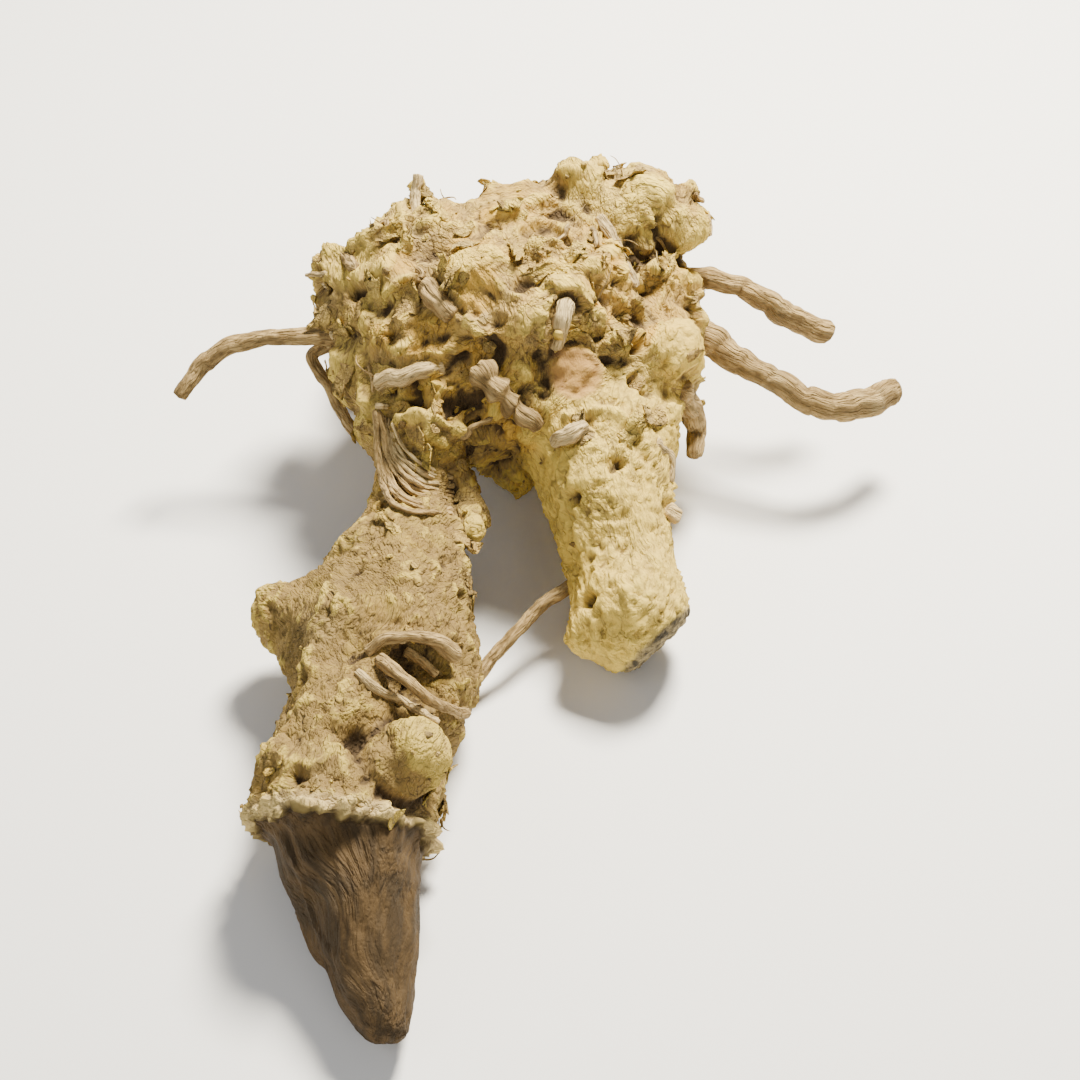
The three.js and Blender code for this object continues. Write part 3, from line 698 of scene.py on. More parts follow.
class Heap:
    """Many small shapes gathered into one mesh, each with its own random number for its material to read."""

    def __init__(self):
        self.points = []
        self.faces = []
        self.values = []
        self.lows = []
        self.flows = []
        self.count = 0

    def add(self, points, faces, value, low=0.0, flow=None):
        """Adds a shape's points and its faces, which are lists of corners. Low is how deep its points lie,
        and flow is where they are along the grain."""
        self.points.append(points)
        self.flows.append(points if flow is None else flow)
        self.faces.extend([[corner + self.count for corner in face] for face in faces])
        self.values.append(np.full(len(points), value))
        self.lows.append(np.broadcast_to(low, len(points)))
        self.count += len(points)

    def add_root(self, rows, kind, seed, value):
        """Adds a root of this kind along its rows."""
        points, faces, low, flow = tube(rows, kind, seed)
        self.add(points, faces, value, low, flow)

    def made(self, name, material):
        """The gathered mesh as a dressed piece."""
        points = np.concatenate(self.points)
        points[:, 2] = np.clip(points[:, 2], 0.0, HIGHEST)
        thing = new_object(name, points, self.faces)
        put_value(thing, "own", np.concatenate(self.values))
        put_value(thing, "low", np.concatenate(self.lows))
        put_flow(thing, np.concatenate(self.flows))
        return dress(thing, material)


def tube(rows, kind, seed):
    """A root of this kind along the rows of x, y, z and radius: a ring of points carried along their smooth
    curve, which wanders a little. Lengthwise wrinkles with sharp grooves push it in and out, with slow
    swellings and a few knuckles, and both ends draw in. Returns its points, its faces, how deep each point
    lies and where it is along the grain."""
    sides, rings, wrinkle, wander = TUBES[kind]
    line = smooth_line(rows, rings)
    middle, radius = line[:, :3].copy(), line[:, 3]
    length = np.r_[0, np.cumsum(np.linalg.norm(np.diff(middle, axis=0), axis=1))]
    for axis in range(3):
        shift = layers(np.column_stack([length, 0 * length, 0 * length + axis]), 2.6, 2, seed + 3)
        middle[:, axis] += wander * radius * shift * np.minimum(1, length)
    way = unit(np.gradient(middle, axis=0))
    side = np.zeros_like(way)
    side[0] = unit(np.cross(way[0], [0.31, 0.17, 0.93]))
    for ring in range(1, rings):
        side[ring] = unit(side[ring - 1] - way[ring] * (side[ring - 1] @ way[ring]))
    other = np.cross(way, side)
    from_end = np.minimum(length, length[-1] - length) / np.maximum(radius, 0.05)
    radius = radius * np.sqrt(np.clip(1 - (1 - np.clip(from_end / 0.35, 0, 1)) ** 2, 0.0, 1))
    turn = np.linspace(0, 2 * np.pi, sides, endpoint=False)
    ring_at = np.repeat(length, sides)
    turn_at = np.tile(turn, rings)
    twist = turn_at + 0.04 * ring_at
    around = np.column_stack([np.cos(twist) * 1.1, np.sin(twist) * 1.1, ring_at * 0.22])
    groove = 2.4 * np.abs(layers(around, 0.8, 2, seed)) - 0.7
    slow = np.column_stack([0.4 * np.cos(turn_at), 0.4 * np.sin(turn_at), ring_at * 0.8])
    swell = noise(slow, 0.9, seed + 5)
    straight = np.column_stack([ring_at * 0, ring_at * 0, ring_at])
    knuckle = smooth(0.2, 0.5, noise(straight, 1.5, seed + 9))
    grown = 1 + wrinkle * groove + 0.9 * wrinkle * swell + 0.7 * wrinkle * knuckle
    out = np.cos(turn_at)[:, None] * np.repeat(side, sides, 0)
    out += np.sin(turn_at)[:, None] * np.repeat(other, sides, 0)
    points = np.repeat(middle, sides, 0) + out * (np.repeat(radius, sides) * grown)[:, None]
    faces = []
    for ring in range(rings - 1):
        first = ring * sides
        faces += [[first + s, first + (s + 1) % sides, first + sides + (s + 1) % sides, first + sides + s]
                  for s in range(sides)]
    last = (rings - 1) * sides
    points = np.vstack([points, middle[0], middle[-1]])
    faces += [[(s + 1) % sides, s, len(points) - 2] for s in range(sides)]
    faces += [[last + s, last + (s + 1) % sides, len(points) - 1] for s in range(sides)]
    low = np.r_[smooth(0.1, -0.6, groove), 0.4, 0.8]
    widest = radius.max()
    grain = np.column_stack([widest * np.cos(twist), widest * np.sin(twist), ring_at / 4]) + seed
    return points, faces, low, np.vstack([grain, grain[:1], grain[-1:]])


def ball_shape():
    """The points and faces of a ball with 80 faces."""
    work = bmesh.new()
    bmesh.ops.create_icosphere(work, subdivisions=2, radius=1.0)
    points = np.array([v.co for v in work.verts])
    faces = [[v.index for v in face.verts] for face in work.faces]
    work.free()
    return points, faces


# Shader graphs


class Value:
    """A socket with a number, used in sums: each operator adds its Math node."""

    def __init__(self, graph, socket):
        self.graph = graph
        self.socket = socket

    def math(self, operation, first, second, clamp=False):
        """A Math node's result."""
        settings = {"operation": operation, "use_clamp": clamp}
        return self.graph.node("ShaderNodeMath", settings, {0: first, 1: second})

    def __add__(self, other):
        return self.math("ADD", self, other)

    def __sub__(self, other):
        return self.math("SUBTRACT", self, other)

    def __mul__(self, other):
        return self.math("MULTIPLY", self, other)

    def __rsub__(self, other):
        return self.math("SUBTRACT", other, self)

    __radd__ = __add__
    __rmul__ = __mul__

    def clamped(self):
        """The number kept from 0 to 1."""
        return self.math("ADD", self, 0.0, clamp=True)


class Graph:
    """A material's nodes, added one by one."""

    def __init__(self, name):
        self.material = bpy.data.materials.new(name)
        self.material.use_nodes = True
        self.tree = self.material.node_tree
        self.shader = self.tree.nodes["Principled BSDF"]
        self.place = self.node("ShaderNodeTexCoord", {}, {}, "Object")

    def node(self, kind, settings, inputs, output=0):
        """One node: its settings first, then its sockets' values or links. Returns one of its outputs."""
        made = self.tree.nodes.new(kind)
        for name, value in settings.items():
            setattr(made, name, value)
        for name, value in inputs.items():
            self.put(made.inputs[name], value)
        return Value(self, made.outputs[output])

    def put(self, socket, value):
        """Links a socket or sets its value."""
        if isinstance(value, Value):
            self.tree.links.new(value.socket, socket)
        elif hasattr(value, "__len__") and len(value) == 3 and socket.type == "RGBA":
            socket.default_value = (*value, 1)
        else:
            socket.default_value = value

    def attribute(self, name, output="Fac"):
        """A number or a place that is stored at each point of the mesh."""
        return self.node("ShaderNodeAttribute", {"attribute_name": name}, {}, output)

    def noise(self, size, detail=4.0, rough=0.55, warp=0.0, at=None):
        """Noise of this size in millimetres."""
        inputs = {"Vector": at or self.place, "Scale": 1 / (size * MM), "Detail": detail, "Roughness": rough,
                  "Distortion": warp}
        return self.node("ShaderNodeTexNoise", {}, inputs, "Fac")

    def lines(self, flow, size, width):
        """1 on the thin lines where noise along the grain passes its middle, and 0 off them."""
        made = self.node("ShaderNodeTexNoise", {}, {"Vector": flow, "Scale": 1 / size, "Detail": 3.0}, "Fac")
        off = made.math("ABSOLUTE", made - 0.5, 0.0)
        return 1 - self.ramp(off, 0.0, width)

    def specks(self, size, at=None):
        """Distance to the nearest of scattered points, in cells of this size in millimetres."""
        inputs = {"Vector": at or self.place, "Scale": 1 / (size * MM)}
        return self.node("ShaderNodeTexVoronoi", {}, inputs, "Distance")

    def ramp(self, value, low, high):
        """0 below low and 1 above high, with a smooth run between."""
        return self.node("ShaderNodeMapRange", {"interpolation_type": "SMOOTHSTEP"},
                         {"Value": value, "From Min": low, "From Max": high})

    def mix(self, factor, first, second, how="MIX"):
        """Two colours mixed."""
        made = self.tree.nodes.new("ShaderNodeMix")
        made.data_type = "RGBA"
        made.blend_type = how
        for socket, value in zip((made.inputs[0], made.inputs[6], made.inputs[7]), (factor, first, second)):
            self.put(socket, value)
        return Value(self, made.outputs[2])

    def bump(self, height, strength, distance, under=None):
        """Small relief that only shades."""
        inputs = {"Height": height, "Strength": strength, "Distance": distance * MM}
        if under is not None:
            inputs["Normal"] = under
        return self.node("ShaderNodeBump", {}, inputs)

    def finish(self, colour, rough, normal, gloss=0.14):
        """Links the shader and returns the material."""
        self.put(self.shader.inputs["Base Color"], colour)
        self.put(self.shader.inputs["Roughness"], rough)
        self.put(self.shader.inputs["Normal"], normal)
        self.shader.inputs["Specular IOR Level"].default_value = gloss
        return self.material


def crust_colour(graph, colours):
    """Dry root skin: tan, paler and greyer in patches, ochre in others, with dark and pale specks."""
    broad = graph.noise(9.0, 3.0, 0.5)
    patch = graph.noise(4.5, 5.0, 0.6, 0.6)
    fine = graph.noise(1.1, 6.0, 0.65)
    grain = graph.noise(0.28, 3.0, 0.6)
    colour = graph.mix(graph.ramp(fine, 0.3, 0.68), colours.shade, colours.tan)
    colour = graph.mix(graph.ramp(patch, 0.5, 0.72), colour, colours.pale)
    colour = graph.mix(graph.ramp(broad, 0.52, 0.66) * 0.55, colour, colours.ochre)
    colour = graph.mix(graph.ramp(1 - broad, 0.54, 0.68) * 0.45, colour, colours.grey)
    colour = graph.mix(graph.ramp(grain, 0.6, 0.78) * 0.4, colour, colours.pale)
    return graph.mix(graph.ramp(1 - grain, 0.6, 0.8) * 0.45, colour, colours.dark)


def crust_normal(graph, flow, calm=0.0):
    """Fine relief of dry skin: creases along the grain, finer ones in them, grains and pores. Calm skin has
    shallower creases."""
    folds = graph.lines(flow, 1.5, 0.09)
    fine = graph.lines(flow, 0.6, 0.1)
    grain = graph.noise(0.42, 8.0, 0.7)
    pores = graph.specks(0.5)
    rough = graph.bump(grain, 0.7, 0.17)
    rough = graph.bump(graph.ramp(pores, 0.0, 0.4), 0.3, 0.1, rough)
    return graph.bump((folds + 0.6 * fine) * (calm - 1.0), 0.8, 0.28, rough)


def creased(graph, colour, flow, colours, calm=0.0):
    """A colour with painted shade in the creases of the fine relief, and thin dark lines along the grain."""
    colour = graph.mix(graph.lines(flow, 1.5, 0.045) * (0.5 - 0.3 * calm), colour, colours.shade)
    colour = graph.mix(graph.lines(flow, 3.3, 0.014) * (0.7 - 0.3 * calm), colour, colours.dark)
    return graph.mix(graph.lines(flow, 0.6, 0.05) * (0.35 - 0.15 * calm), colour, colours.shade)


def skin_material(colours):
    """The whole skin: crust with painted shade in its hollows and painted light on its crests, with the bare
    stump, the broken end and the scar.
    """
    graph = Graph("root_skin")
    # The first two give how far each point lies below or stands above the wider skin, for painted shade and
    # painted light.
    hollow_shade = graph.attribute("hollow_shade")
    crest = graph.attribute("crest")
    bare = graph.attribute("bare")
    broken = graph.attribute("broken")
    scar = graph.attribute("scar")
    young = graph.attribute("young")
    colour = crust_colour(graph, colours)
    colour = graph.mix(young * 0.7, colour, colours.pale)
    colour = graph.mix(graph.attribute("dusty") * 0.55, colour, colours.pale)
    colour = graph.mix(graph.attribute("ochre") * 0.7, colour, colours.ochre)
    # The branch, the arm and half the lobe darker: partly their own khaki skin, partly painted shade from
    # the roots beside them.
    colour = graph.mix(graph.attribute("branch") * 0.7, colour, colours.branch)
    flow = graph.attribute("flow", "Vector")
    patches = graph.ramp(graph.noise(5.0, 3.0), 0.42, 0.6)
    calm = (0.35 * young + 0.4 * patches + 0.35 * bare + 0.8 * scar).clamped()
    # Painted shade in the skin's creases, less on calm skin.
    colour = creased(graph, colour, flow, colours, calm)
    # Painted light: the crests are mixed paler.
    colour = graph.mix(graph.ramp(crest, 0.35, 1.0) * 0.5, colour, colours.pale)
    # Painted shade: the hollows are mixed towards shade and, deepest, towards dark.
    colour = graph.mix(graph.ramp(hollow_shade, 0.02, 0.4) * 0.5, colour, colours.shade)
    colour = graph.mix(graph.ramp(hollow_shade, 0.15, 0.9) * 0.9, colour, colours.dark)
    fibre = graph.node("ShaderNodeTexNoise", {}, {"Vector": flow, "Scale": 0.9, "Detail": 5.0}, "Fac")
    colour = graph.mix(graph.attribute("rim") * 0.55, colour, colours.twig_pale)
    # The stump's bare wood, streaked; its colours are the wood's own dark brown, made darker still as
    # painted shade.
    wood = graph.mix(graph.ramp(fibre, 0.35, 0.65), colours.bare_dark, colours.bare)
    # Painted shade in the stump's hollows.
    wood = graph.mix(graph.ramp(hollow_shade, 0.3, 1.0) * 0.6, wood, colours.dark)
    colour = graph.mix(bare, colour, wood)
    end = graph.mix(graph.ramp(graph.noise(0.8, 5.0), 0.35, 0.7), colours.end_dark, colours.grey)
    colour = graph.mix(broken, colour, end)
    colour = graph.mix(scar * 0.7, colour, colours.scar)
    rough = 0.86 - bare * 0.2 + graph.noise(2.0) * 0.1
    return graph.finish(colour, rough.clamped(), crust_normal(graph, flow, calm))


def crumb_material(colours):
    """Crumbs and flakes of crust: as the skin, each a little paler or darker by its own number."""
    graph = Graph("root_crust")
    own = graph.attribute("own")
    colour = crust_colour(graph, colours)
    colour = graph.mix(graph.ramp(own, 0.55, 1.0) * 0.6, colour, colours.pale)
    colour = graph.mix(graph.ramp(1 - own, 0.6, 1.0) * 0.6, colour, colours.dark)
    flow = graph.attribute("flow", "Vector")
    # Painted shade in the crumbs' creases.
    return graph.finish(creased(graph, colour, flow, colours), 0.9, crust_normal(graph, flow))


def rootlet_material(colours):
    """Thin roots: grey-tan with darker wrinkles, each its own shade."""
    graph = Graph("root_twig")
    own = graph.attribute("own")
    fine = graph.noise(0.8, 6.0, 0.65)
    colour = graph.mix(graph.ramp(fine, 0.2, 0.5), colours.twig_dark, colours.twig)
    # Painted shade in the grooves of the thin roots.
    colour = graph.mix(graph.attribute("low") * 0.75, colour, colours.twig_dark)
    colour = graph.mix(graph.ramp(own, 0.6, 1.0) * 0.75, colour, colours.twig_pale)
    colour = graph.mix(graph.ramp(1 - own, 0.7, 1.0) * 0.5, colour, colours.shade)
    colour = graph.mix(graph.ramp(graph.noise(3.0), 0.55, 0.75) * 0.5, colour, colours.grey)
    flow = graph.attribute("flow", "Vector")
    colour = graph.mix(graph.lines(flow, 0.7, 0.06) * 0.5, colour, colours.twig_dark)
    return graph.finish(colour, 0.84, crust_normal(graph, flow))


# Settings


def tone(name, description, default):
    """A colour setting, as linear red, green and blue."""
    return FloatVectorProperty(name=name, description=description, subtype="COLOR", size=3, min=0, max=1,
                               default=default)


def size(name, description, default, low=0.0):
    """A size setting in millimetres."""
    return FloatProperty(name=name, description=description, default=default, min=low)


class RhizomeColours(bpy.types.PropertyGroup):
    """The colours of the rhizome."""

    tan: tone("Tan", "Most of the skin", (0.47, 0.320, 0.086))
    # Shade is the skin's own darker tone in places, and painted shade in hollows and creases.
    shade: tone("Shade", "Skin that lies low", (0.25, 0.165, 0.062))
    # Pale is painted light on the crests, and elsewhere the skin's own pale patches and specks.
    pale: tone("Pale", "Dry crests and torn edges", (0.71, 0.522, 0.102))
    ochre: tone("Ochre", "Yellow patches of skin", (0.54, 0.315, 0.046))
    # Branch is partly the branch's own khaki skin and partly painted shade from the roots beside it.
    branch: tone("Branch", "The branch's skin", (0.140, 0.093, 0.031))
    grey: tone("Grey", "Dusty patches of skin", (0.33, 0.255, 0.125))
    # Dark is painted shade at the bottoms of hollows, and also the skin's own dark specks and lines.
    dark: tone("Dark", "The bottoms of hollows", (0.045, 0.029, 0.017))
    # The bare wood is its own dark brown, made darker still as painted shade.
    bare: tone("Bare wood", "The stump where the skin is gone", (0.082, 0.050, 0.020))
    bare_dark: tone("Bare wood streaks", "The stump's darker streaks", (0.042, 0.027, 0.012))
    end_dark: tone("Broken end", "The finger's broken end", (0.060, 0.050, 0.034))
    scar: tone("Scar", "The round scar where a root broke off", (0.34, 0.175, 0.062))
    twig: tone("Rootlets", "Thin roots", (0.41, 0.280, 0.115))
    twig_pale: tone("Pale rootlets", "The palest thin roots", (0.66, 0.50, 0.24))
    # Rootlet wrinkles is the thin roots' own darker tone, and painted shade in their grooves.
    twig_dark: tone("Rootlet wrinkles", "The wrinkles of thin roots", (0.15, 0.095, 0.035))


class RhizomeSizes(bpy.types.PropertyGroup):
    """The sizes of the rhizome's details, in millimetres."""

    voxel: size("Face size", "Width of the skin's even faces", 0.345, 0.1)
    relief: FloatProperty(name="Relief", description="How strong the skin's relief is", default=1.0, min=0)
    relax: IntProperty(name="Relax", description="Rounds that take the facets off", default=14, min=0)
    crumbs: IntProperty(name="Crumbs", description="How many crumbs of crust", default=520, min=0)
    flakes: IntProperty(name="Flakes", description="How many curled flakes of crust", default=220, min=0)
    hairs: IntProperty(name="Hairs", description="How many root hairs and fibres", default=36, min=0)
    crumb: size("Crumb size", "Half width of a common crumb", 0.3)
    flake: size("Flake size", "Half width of a common flake", 0.72)


class RhizomeStage(bpy.types.PropertyGroup):
    """The stage, the camera and the lights."""

    floor: tone("Floor", "The plain floor", (0.80, 0.79, 0.77))
    lens: FloatProperty(name="Lens", description="Focal length", default=90, min=10, unit="CAMERA")
    frame_height: size("Frame", "Height of the picture at the rhizome", 96)


def settings():
    """The scene's settings of the three kinds."""
    scene = bpy.context.scene
    return scene.rhizome_colours, scene.rhizome_sizes, scene.rhizome_stage


# Operators


def solid_tree():
    """The solid's search tree."""
    return tree_of(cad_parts[NODE])


def root_share(points):
    """How much each point lies on a free root, which has a finer piece of its own over it."""
    share = np.zeros(len(points))
    for rows in FREE_ROOTS:
        rows = np.asarray(rows)
        line = smooth_line(np.column_stack([seen(rows), rows[:, 3]]), 40)[7:]
        share = np.maximum(share, smooth(0.7, 0.2, limb_gap(points, line)))
    return share


class RHIZOME_OT_skin(bpy.types.Operator):
    """Makes the skin over the solid, with its relief, pits, broken end and colours"""

    bl_idname = "rhizome.skin"
    bl_label = "Skin"

    def execute(self, context):
        colours, sizes, _ = settings()
        points, faces = even_mesh(sizes.voxel)
        links = links_of(faces)
        base = relaxed(points, links, sizes.relax)
        outward = normals_of(base, faces)
        shares = region_shares(base)
        broken = self.broken_share(base)
        smooth_skin = new_object("smooth_skin", base, faces.tolist())
        tree = tree_of(smooth_skin)
        ochre, pale, ragged = (patch_share(base, tree, rows) for rows in PATCHES.values())
        torn = np.maximum(torn_share(base) * (1 - ochre) * (1 - pale), ragged)
        relief = sizes.relief * (skin_relief(base, shares, torn) + fold_height(base, tree))
        relief = relief * (1 - 0.7 * broken) + 0.2 * broken * knobs(base, 1.1, 73)
        places = [(on_skin(tree, right, up), radius, deep) for right, up, radius, deep in PITS]
        places += self.scattered_pits(base, outward, shares)
        pits = pit_depth(warped(base, 1.5, 0.7, 75), places)
        scar_place = on_skin(tree, *SCAR["place"])
        away = np.linalg.norm(base - scar_place, axis=1) / SCAR["radius"]
        scar = smooth(1.1, 0.8, away)
        lip = smooth(0.7, 0.95, away) * smooth(1.35, 1.0, away)
        relief = relief * (1 - 0.75 * scar) + 0.3 * lip + 0.25 * scar * billows(base, 1.3, 2, 77)
        height = (relief - pits) * self.calm_top(base)
        roots = root_share(base)
        height = height * (1 - roots) - 0.25 * roots
        stubs = self.stub_share(base)
        height = height * (1 - 0.6 * stubs) - 0.4 * stubs
        height = self.with_knobs(base, tree, height)
        bpy.data.objects.remove(smooth_skin)
        skin = base + outward * height[:, None]
        skin[:, 2] = np.clip(skin[:, 2], 0.0, HIGHEST)
        thing = new_object(NODE + "_skin", skin, faces.tolist())
        self.colour_values(thing, base, skin, faces, links, shares, broken, scar)
        torn = torn * shares["crown"] + 0.8 * (1 - shares["crown"])
        put_value(thing, "torn", torn)
        put_value(thing, "ochre", np.maximum(ochre, 0.5 * (1 - torn)) * (1 - pale))
        put_value(thing, "dusty", pale)
        put_value(thing, "crust", crust_liking(base, shares, torn) * (1 - scar) * (1 - broken))
        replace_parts(dress(thing, skin_material(colours)), NODE)
        return {"FINISHED"}

    def broken_share(self, points):
        """How much each point lies on the finger's broken end: 1 on its plane, less away from it."""
        beside = np.linalg.norm(points - seen(BREAK["place"]), axis=1)
        return smooth(*BREAK_STARTS, past_plane(points, BREAK)) * smooth(*BREAK_WITHIN, beside)

    def calm_top(self, points):
        """Less relief on the topmost skin, so that the whole stays inside the solid's box."""
        return 1 - CALM_TOP["fades"] * smooth(CALM_TOP["from"], CALM_TOP["to"], points[:, 2])

    def stub_share(self, points):
        """How much each point lies on a stub of the solid's, which has a finer piece in its place."""
        share = np.zeros(len(points))
        for line in place_lines(solid_tree(), STUBS[:SUNK_STUBS]):
            share = np.maximum(share, smooth(0.6, 0.1, limb_gap(points, smooth_line(line, 12))))
        return share

    def with_knobs(self, points, tree, height):
        """The height with calmer skin on the round knobs and a groove round the foot of each."""
        for right, up, radius, groove in KNOBS:
            middle = on_skin(tree, right, up, -0.75 * radius)
            away = np.linalg.norm(points - middle, axis=1) / radius
            on_knob = smooth(1.3, 1.1, away)
            around = smooth(1.0, 1.2, away) * smooth(1.75, 1.35, away)
            height = height * (1 - 0.55 * on_knob) - groove * around
        return height

    def scattered_pits(self, points, outward, shares):
        """Pits spread at random over the crown's sides that the viewer doesn't see."""
        chance = np.random.default_rng(5)
        rough = np.flatnonzero((shares["crown"] > 0.7) & (outward @ SIGHT > -0.25))
        chosen = points[chance.choice(rough, HIDDEN_PITS["count"], replace=False)]
        size = HIDDEN_PITS["size"]
        return [(place, chance.uniform(*size), chance.uniform(*size)) for place in chosen]

    def colour_values(self, thing, base, skin, faces, links, shares, broken, scar):
        """Stores what the skin's colours read. A point below its wider surroundings lies in one of the
        hollows, which get painted shade, and one above them lies on a crest, which gets painted light.
        """
        wide = skin
        low = np.zeros(len(skin))
        outward = normals_of(skin, faces)
        for rounds, weight in SURROUNDINGS:
            wide = relaxed(wide, links, rounds)
            low += weight * np.sum((wide - skin) * outward, axis=1)
        low = spread(low, links, len(low))
        values = {
            # How far below its wider surroundings each point lies, for painted shade, and how far above, for
            # painted light.
            "hollow_shade": smooth(0.05, 1.4, low),
            "crest": smooth(0.05, 1.2, -low),
            "bare": shares["stump"],
            "broken": broken,
            "scar": scar,
            "rim": smooth(-2.2, -0.6, past_plane(base, RIM)) * shares["branch"],
            "young": shares["finger"],
            # Where the darker branch colour goes, partly as painted shade.
            "branch": shares["branch"] + shares["arm"] + 0.5 * shares["lobe"],
        }
        for name, value in values.items():
            put_value(thing, name, value)
        put_flow(thing, grain_places(base, shares))


def skin_tree():
    """The finished skin's search tree."""
    return tree_of(bpy.data.objects[NODE + "_skin"])


class RHIZOME_OT_rootlets(bpy.types.Operator):
    """Makes the free roots, and the stubs and twigs that stand on the skin"""

    bl_idname = "rhizome.rootlets"
    bl_label = "Rootlets"

    def execute(self, context):
        colours, _, _ = settings()
        tree = solid_tree()
        material = rootlet_material(colours)
        free = Heap()
        for index, rows in enumerate(FREE_ROOTS):
            rows = np.asarray(rows)
            line = np.column_stack([seen(rows), rows[:, 3]])
            free.add_root(line, "free", 101 + index, FREE_ROOT_TONES[index])
        free.made("free_roots", material)
        stubs = Heap()
        for index, line in enumerate(place_lines(tree, STUBS)):
            pale = 0.95 if index in PALE_STUBS else 0.45 + 0.4 * (index % 3) / 2
            stubs.add_root(line, "stub", 131 + index, pale)
        stubs.made("root_stubs", material)
        strands = Heap()
        for index, line in enumerate(self.strand_lines(skin_tree())):
            strands.add_root(line, "strand", 171 + index, 0.4 + 0.05 * index)
        strands.made("sheath_strands", material)
        self.worms(skin_tree(), material)
        return {"FINISHED"}

    def strand_lines(self, tree):
        """The strands' lines: steps from the outer arc to the inner one, each a little out of line."""
        chance = np.random.default_rng(173)
        outer, inner = (np.array(STRANDS[name]) for name in ("outer", "inner"))
        for share in np.linspace(0, 1, STRANDS["count"]):
            places = outer + share * (inner - outer) + chance.normal(0, 0.16, outer.shape)
            radius = chance.uniform(*STRANDS["radius"])
            lifts = radius * np.array([-0.6, 0.9, 0.9, -0.6]) + chance.uniform(0, 0.2)
            yield np.array([[*on_skin(tree, *place, lift), radius] for place, lift in zip(places, lifts)])

    def worms(self, tree, material):
        """Short dead roots that lie along the skin at random, on every side."""
        spots, outward, across, chance = skin_spots(WORMS["count"], 211)
        heap = Heap()
        for index in range(WORMS["count"]):
            radius = chance.uniform(*WORMS["radius"])
            length = chance.uniform(*WORMS["length"])
            bend = np.cross(outward[index], across[index]) * chance.normal(0, 0.3)
            rows = []
            for step in range(5):
                share = step / 4
                place = spots[index] + length * (share * across[index] + share**2 * bend)
                near, normal, _, _ = tree.find_nearest(Vector(place * MM))
                lift = radius * (0.2 + 1.2 * share) * chance.uniform(0.5, 1.3)
                rows.append([*(np.array(near) / MM + np.array(normal) * lift), radius * (1 - 0.3 * share)])
            heap.add_root(rows, "worm", 221 + index, chance.uniform(0.3, 1.0))
        heap.made("dead_rootlets", material)


def skin_spots(count, seed):
    """Places on the skin, their outward directions and their tangents, drawn at random by how much crust
    each has."""
    skin = bpy.data.objects[NODE + "_skin"].data
    points = np.zeros(3 * len(skin.vertices))
    outward = np.zeros(3 * len(skin.vertices))
    skin.vertices.foreach_get("co", points)
    skin.vertex_normals.foreach_get("vector", outward)
    points = points.reshape(-1, 3) / MM
    outward = outward.reshape(-1, 3)
    chance = np.random.default_rng(seed)
    weight = np.zeros(len(points), np.float32)
    skin.attributes["crust"].data.foreach_get("value", weight)
    weight = weight.astype(float)
    chosen = chance.choice(len(points), count, replace=False, p=weight / weight.sum())
    across = unit(np.cross(outward[chosen], unit(chance.normal(size=(count, 3)))))
    return points[chosen], outward[chosen], across, chance


def crust_liking(points, shares, torn):
    """Where crust gathers: on the crown's torn skin and on the branch's rim, but not on a free root."""
    from_rim = past_plane(points, RIM)
    near_rim = smooth(-6.0, -3.0, from_rim) * smooth(-0.4, -1.6, from_rim) * shares["branch"]
    liking = shares["crown"] + 0.8 * shares["lobe"] + 0.25 * shares["branch"] + near_rim
    liking = liking + 0.06 * shares["finger"]
    return liking * (0.15 + 0.85 * torn) * (1 - root_share(points)) * smooth(0.3, 1.5, points[:, 2])


def flap_shape(tree, place, along, outward, size, seed):
    """A torn flap of skin: a sheet of rows and columns laid on the skin, with ragged edges. It rises from
    the row where it is fast to the row that is free, the more the farther, and its sides curl up. The size
    is its length, half width and rise. Returns points and faces."""
    length, half, rise = size
    steps = np.linspace(0, 1, FLAP["rows"]), np.linspace(-1, 1, FLAP["columns"])
    rows, columns = np.meshgrid(*steps, indexing="ij")
    rows = rows.ravel()
    columns = columns.ravel()
    ragged = np.column_stack([3 * rows, 2 * columns, 0 * rows + seed])
    reach = length * rows * (1 + 0.35 * noise(ragged * [0, 1, 1], 0.8, 503))
    spread_out = half * columns * (1 - 0.35 * rows**2) * (1 + 0.4 * noise(ragged * [1, 0, 1], 0.9, 505))
    spread_out += 0.3 * half * noise(ragged * [1, 0, 1], 1.6, 507)
    flat = place + np.outer(reach, along) + np.outer(spread_out, np.cross(outward, along))
    near = [tree.find_nearest(Vector(spot * MM)) for spot in flat]
    foot = np.array([found[0] for found in near]) / MM
    up = np.array([found[1] for found in near])
    up = unit(0.5 * up + 0.5 * outward)
    lift = 0.02 + rise * rows**1.5 * (1 + 0.4 * noise(ragged, 0.9, 509)) + 0.22 * rise * columns**2 * rows
    top = foot + up * lift[:, None]
    bottom = top - up * FLAP["thick"]
    count = len(rows)
    wide = FLAP["columns"]
    faces = []
    for row in range(FLAP["rows"] - 1):
        for column in range(wide - 1):
            a = row * wide + column
            faces.append([a, a + wide, a + wide + 1, a + 1])
            faces.append([a + count, a + count + 1, a + count + wide + 1, a + count + wide])
    edge = [*range(wide), *range(2 * wide - 1, count, wide), *range(count - 2, count - wide - 1, -1),
            *range(count - 2 * wide, 0, -wide)]
    faces += [[a, b, b + count, a + count] for a, b in zip(edge, edge[1:] + edge[:1])]
    return np.vstack([top, bottom]), faces


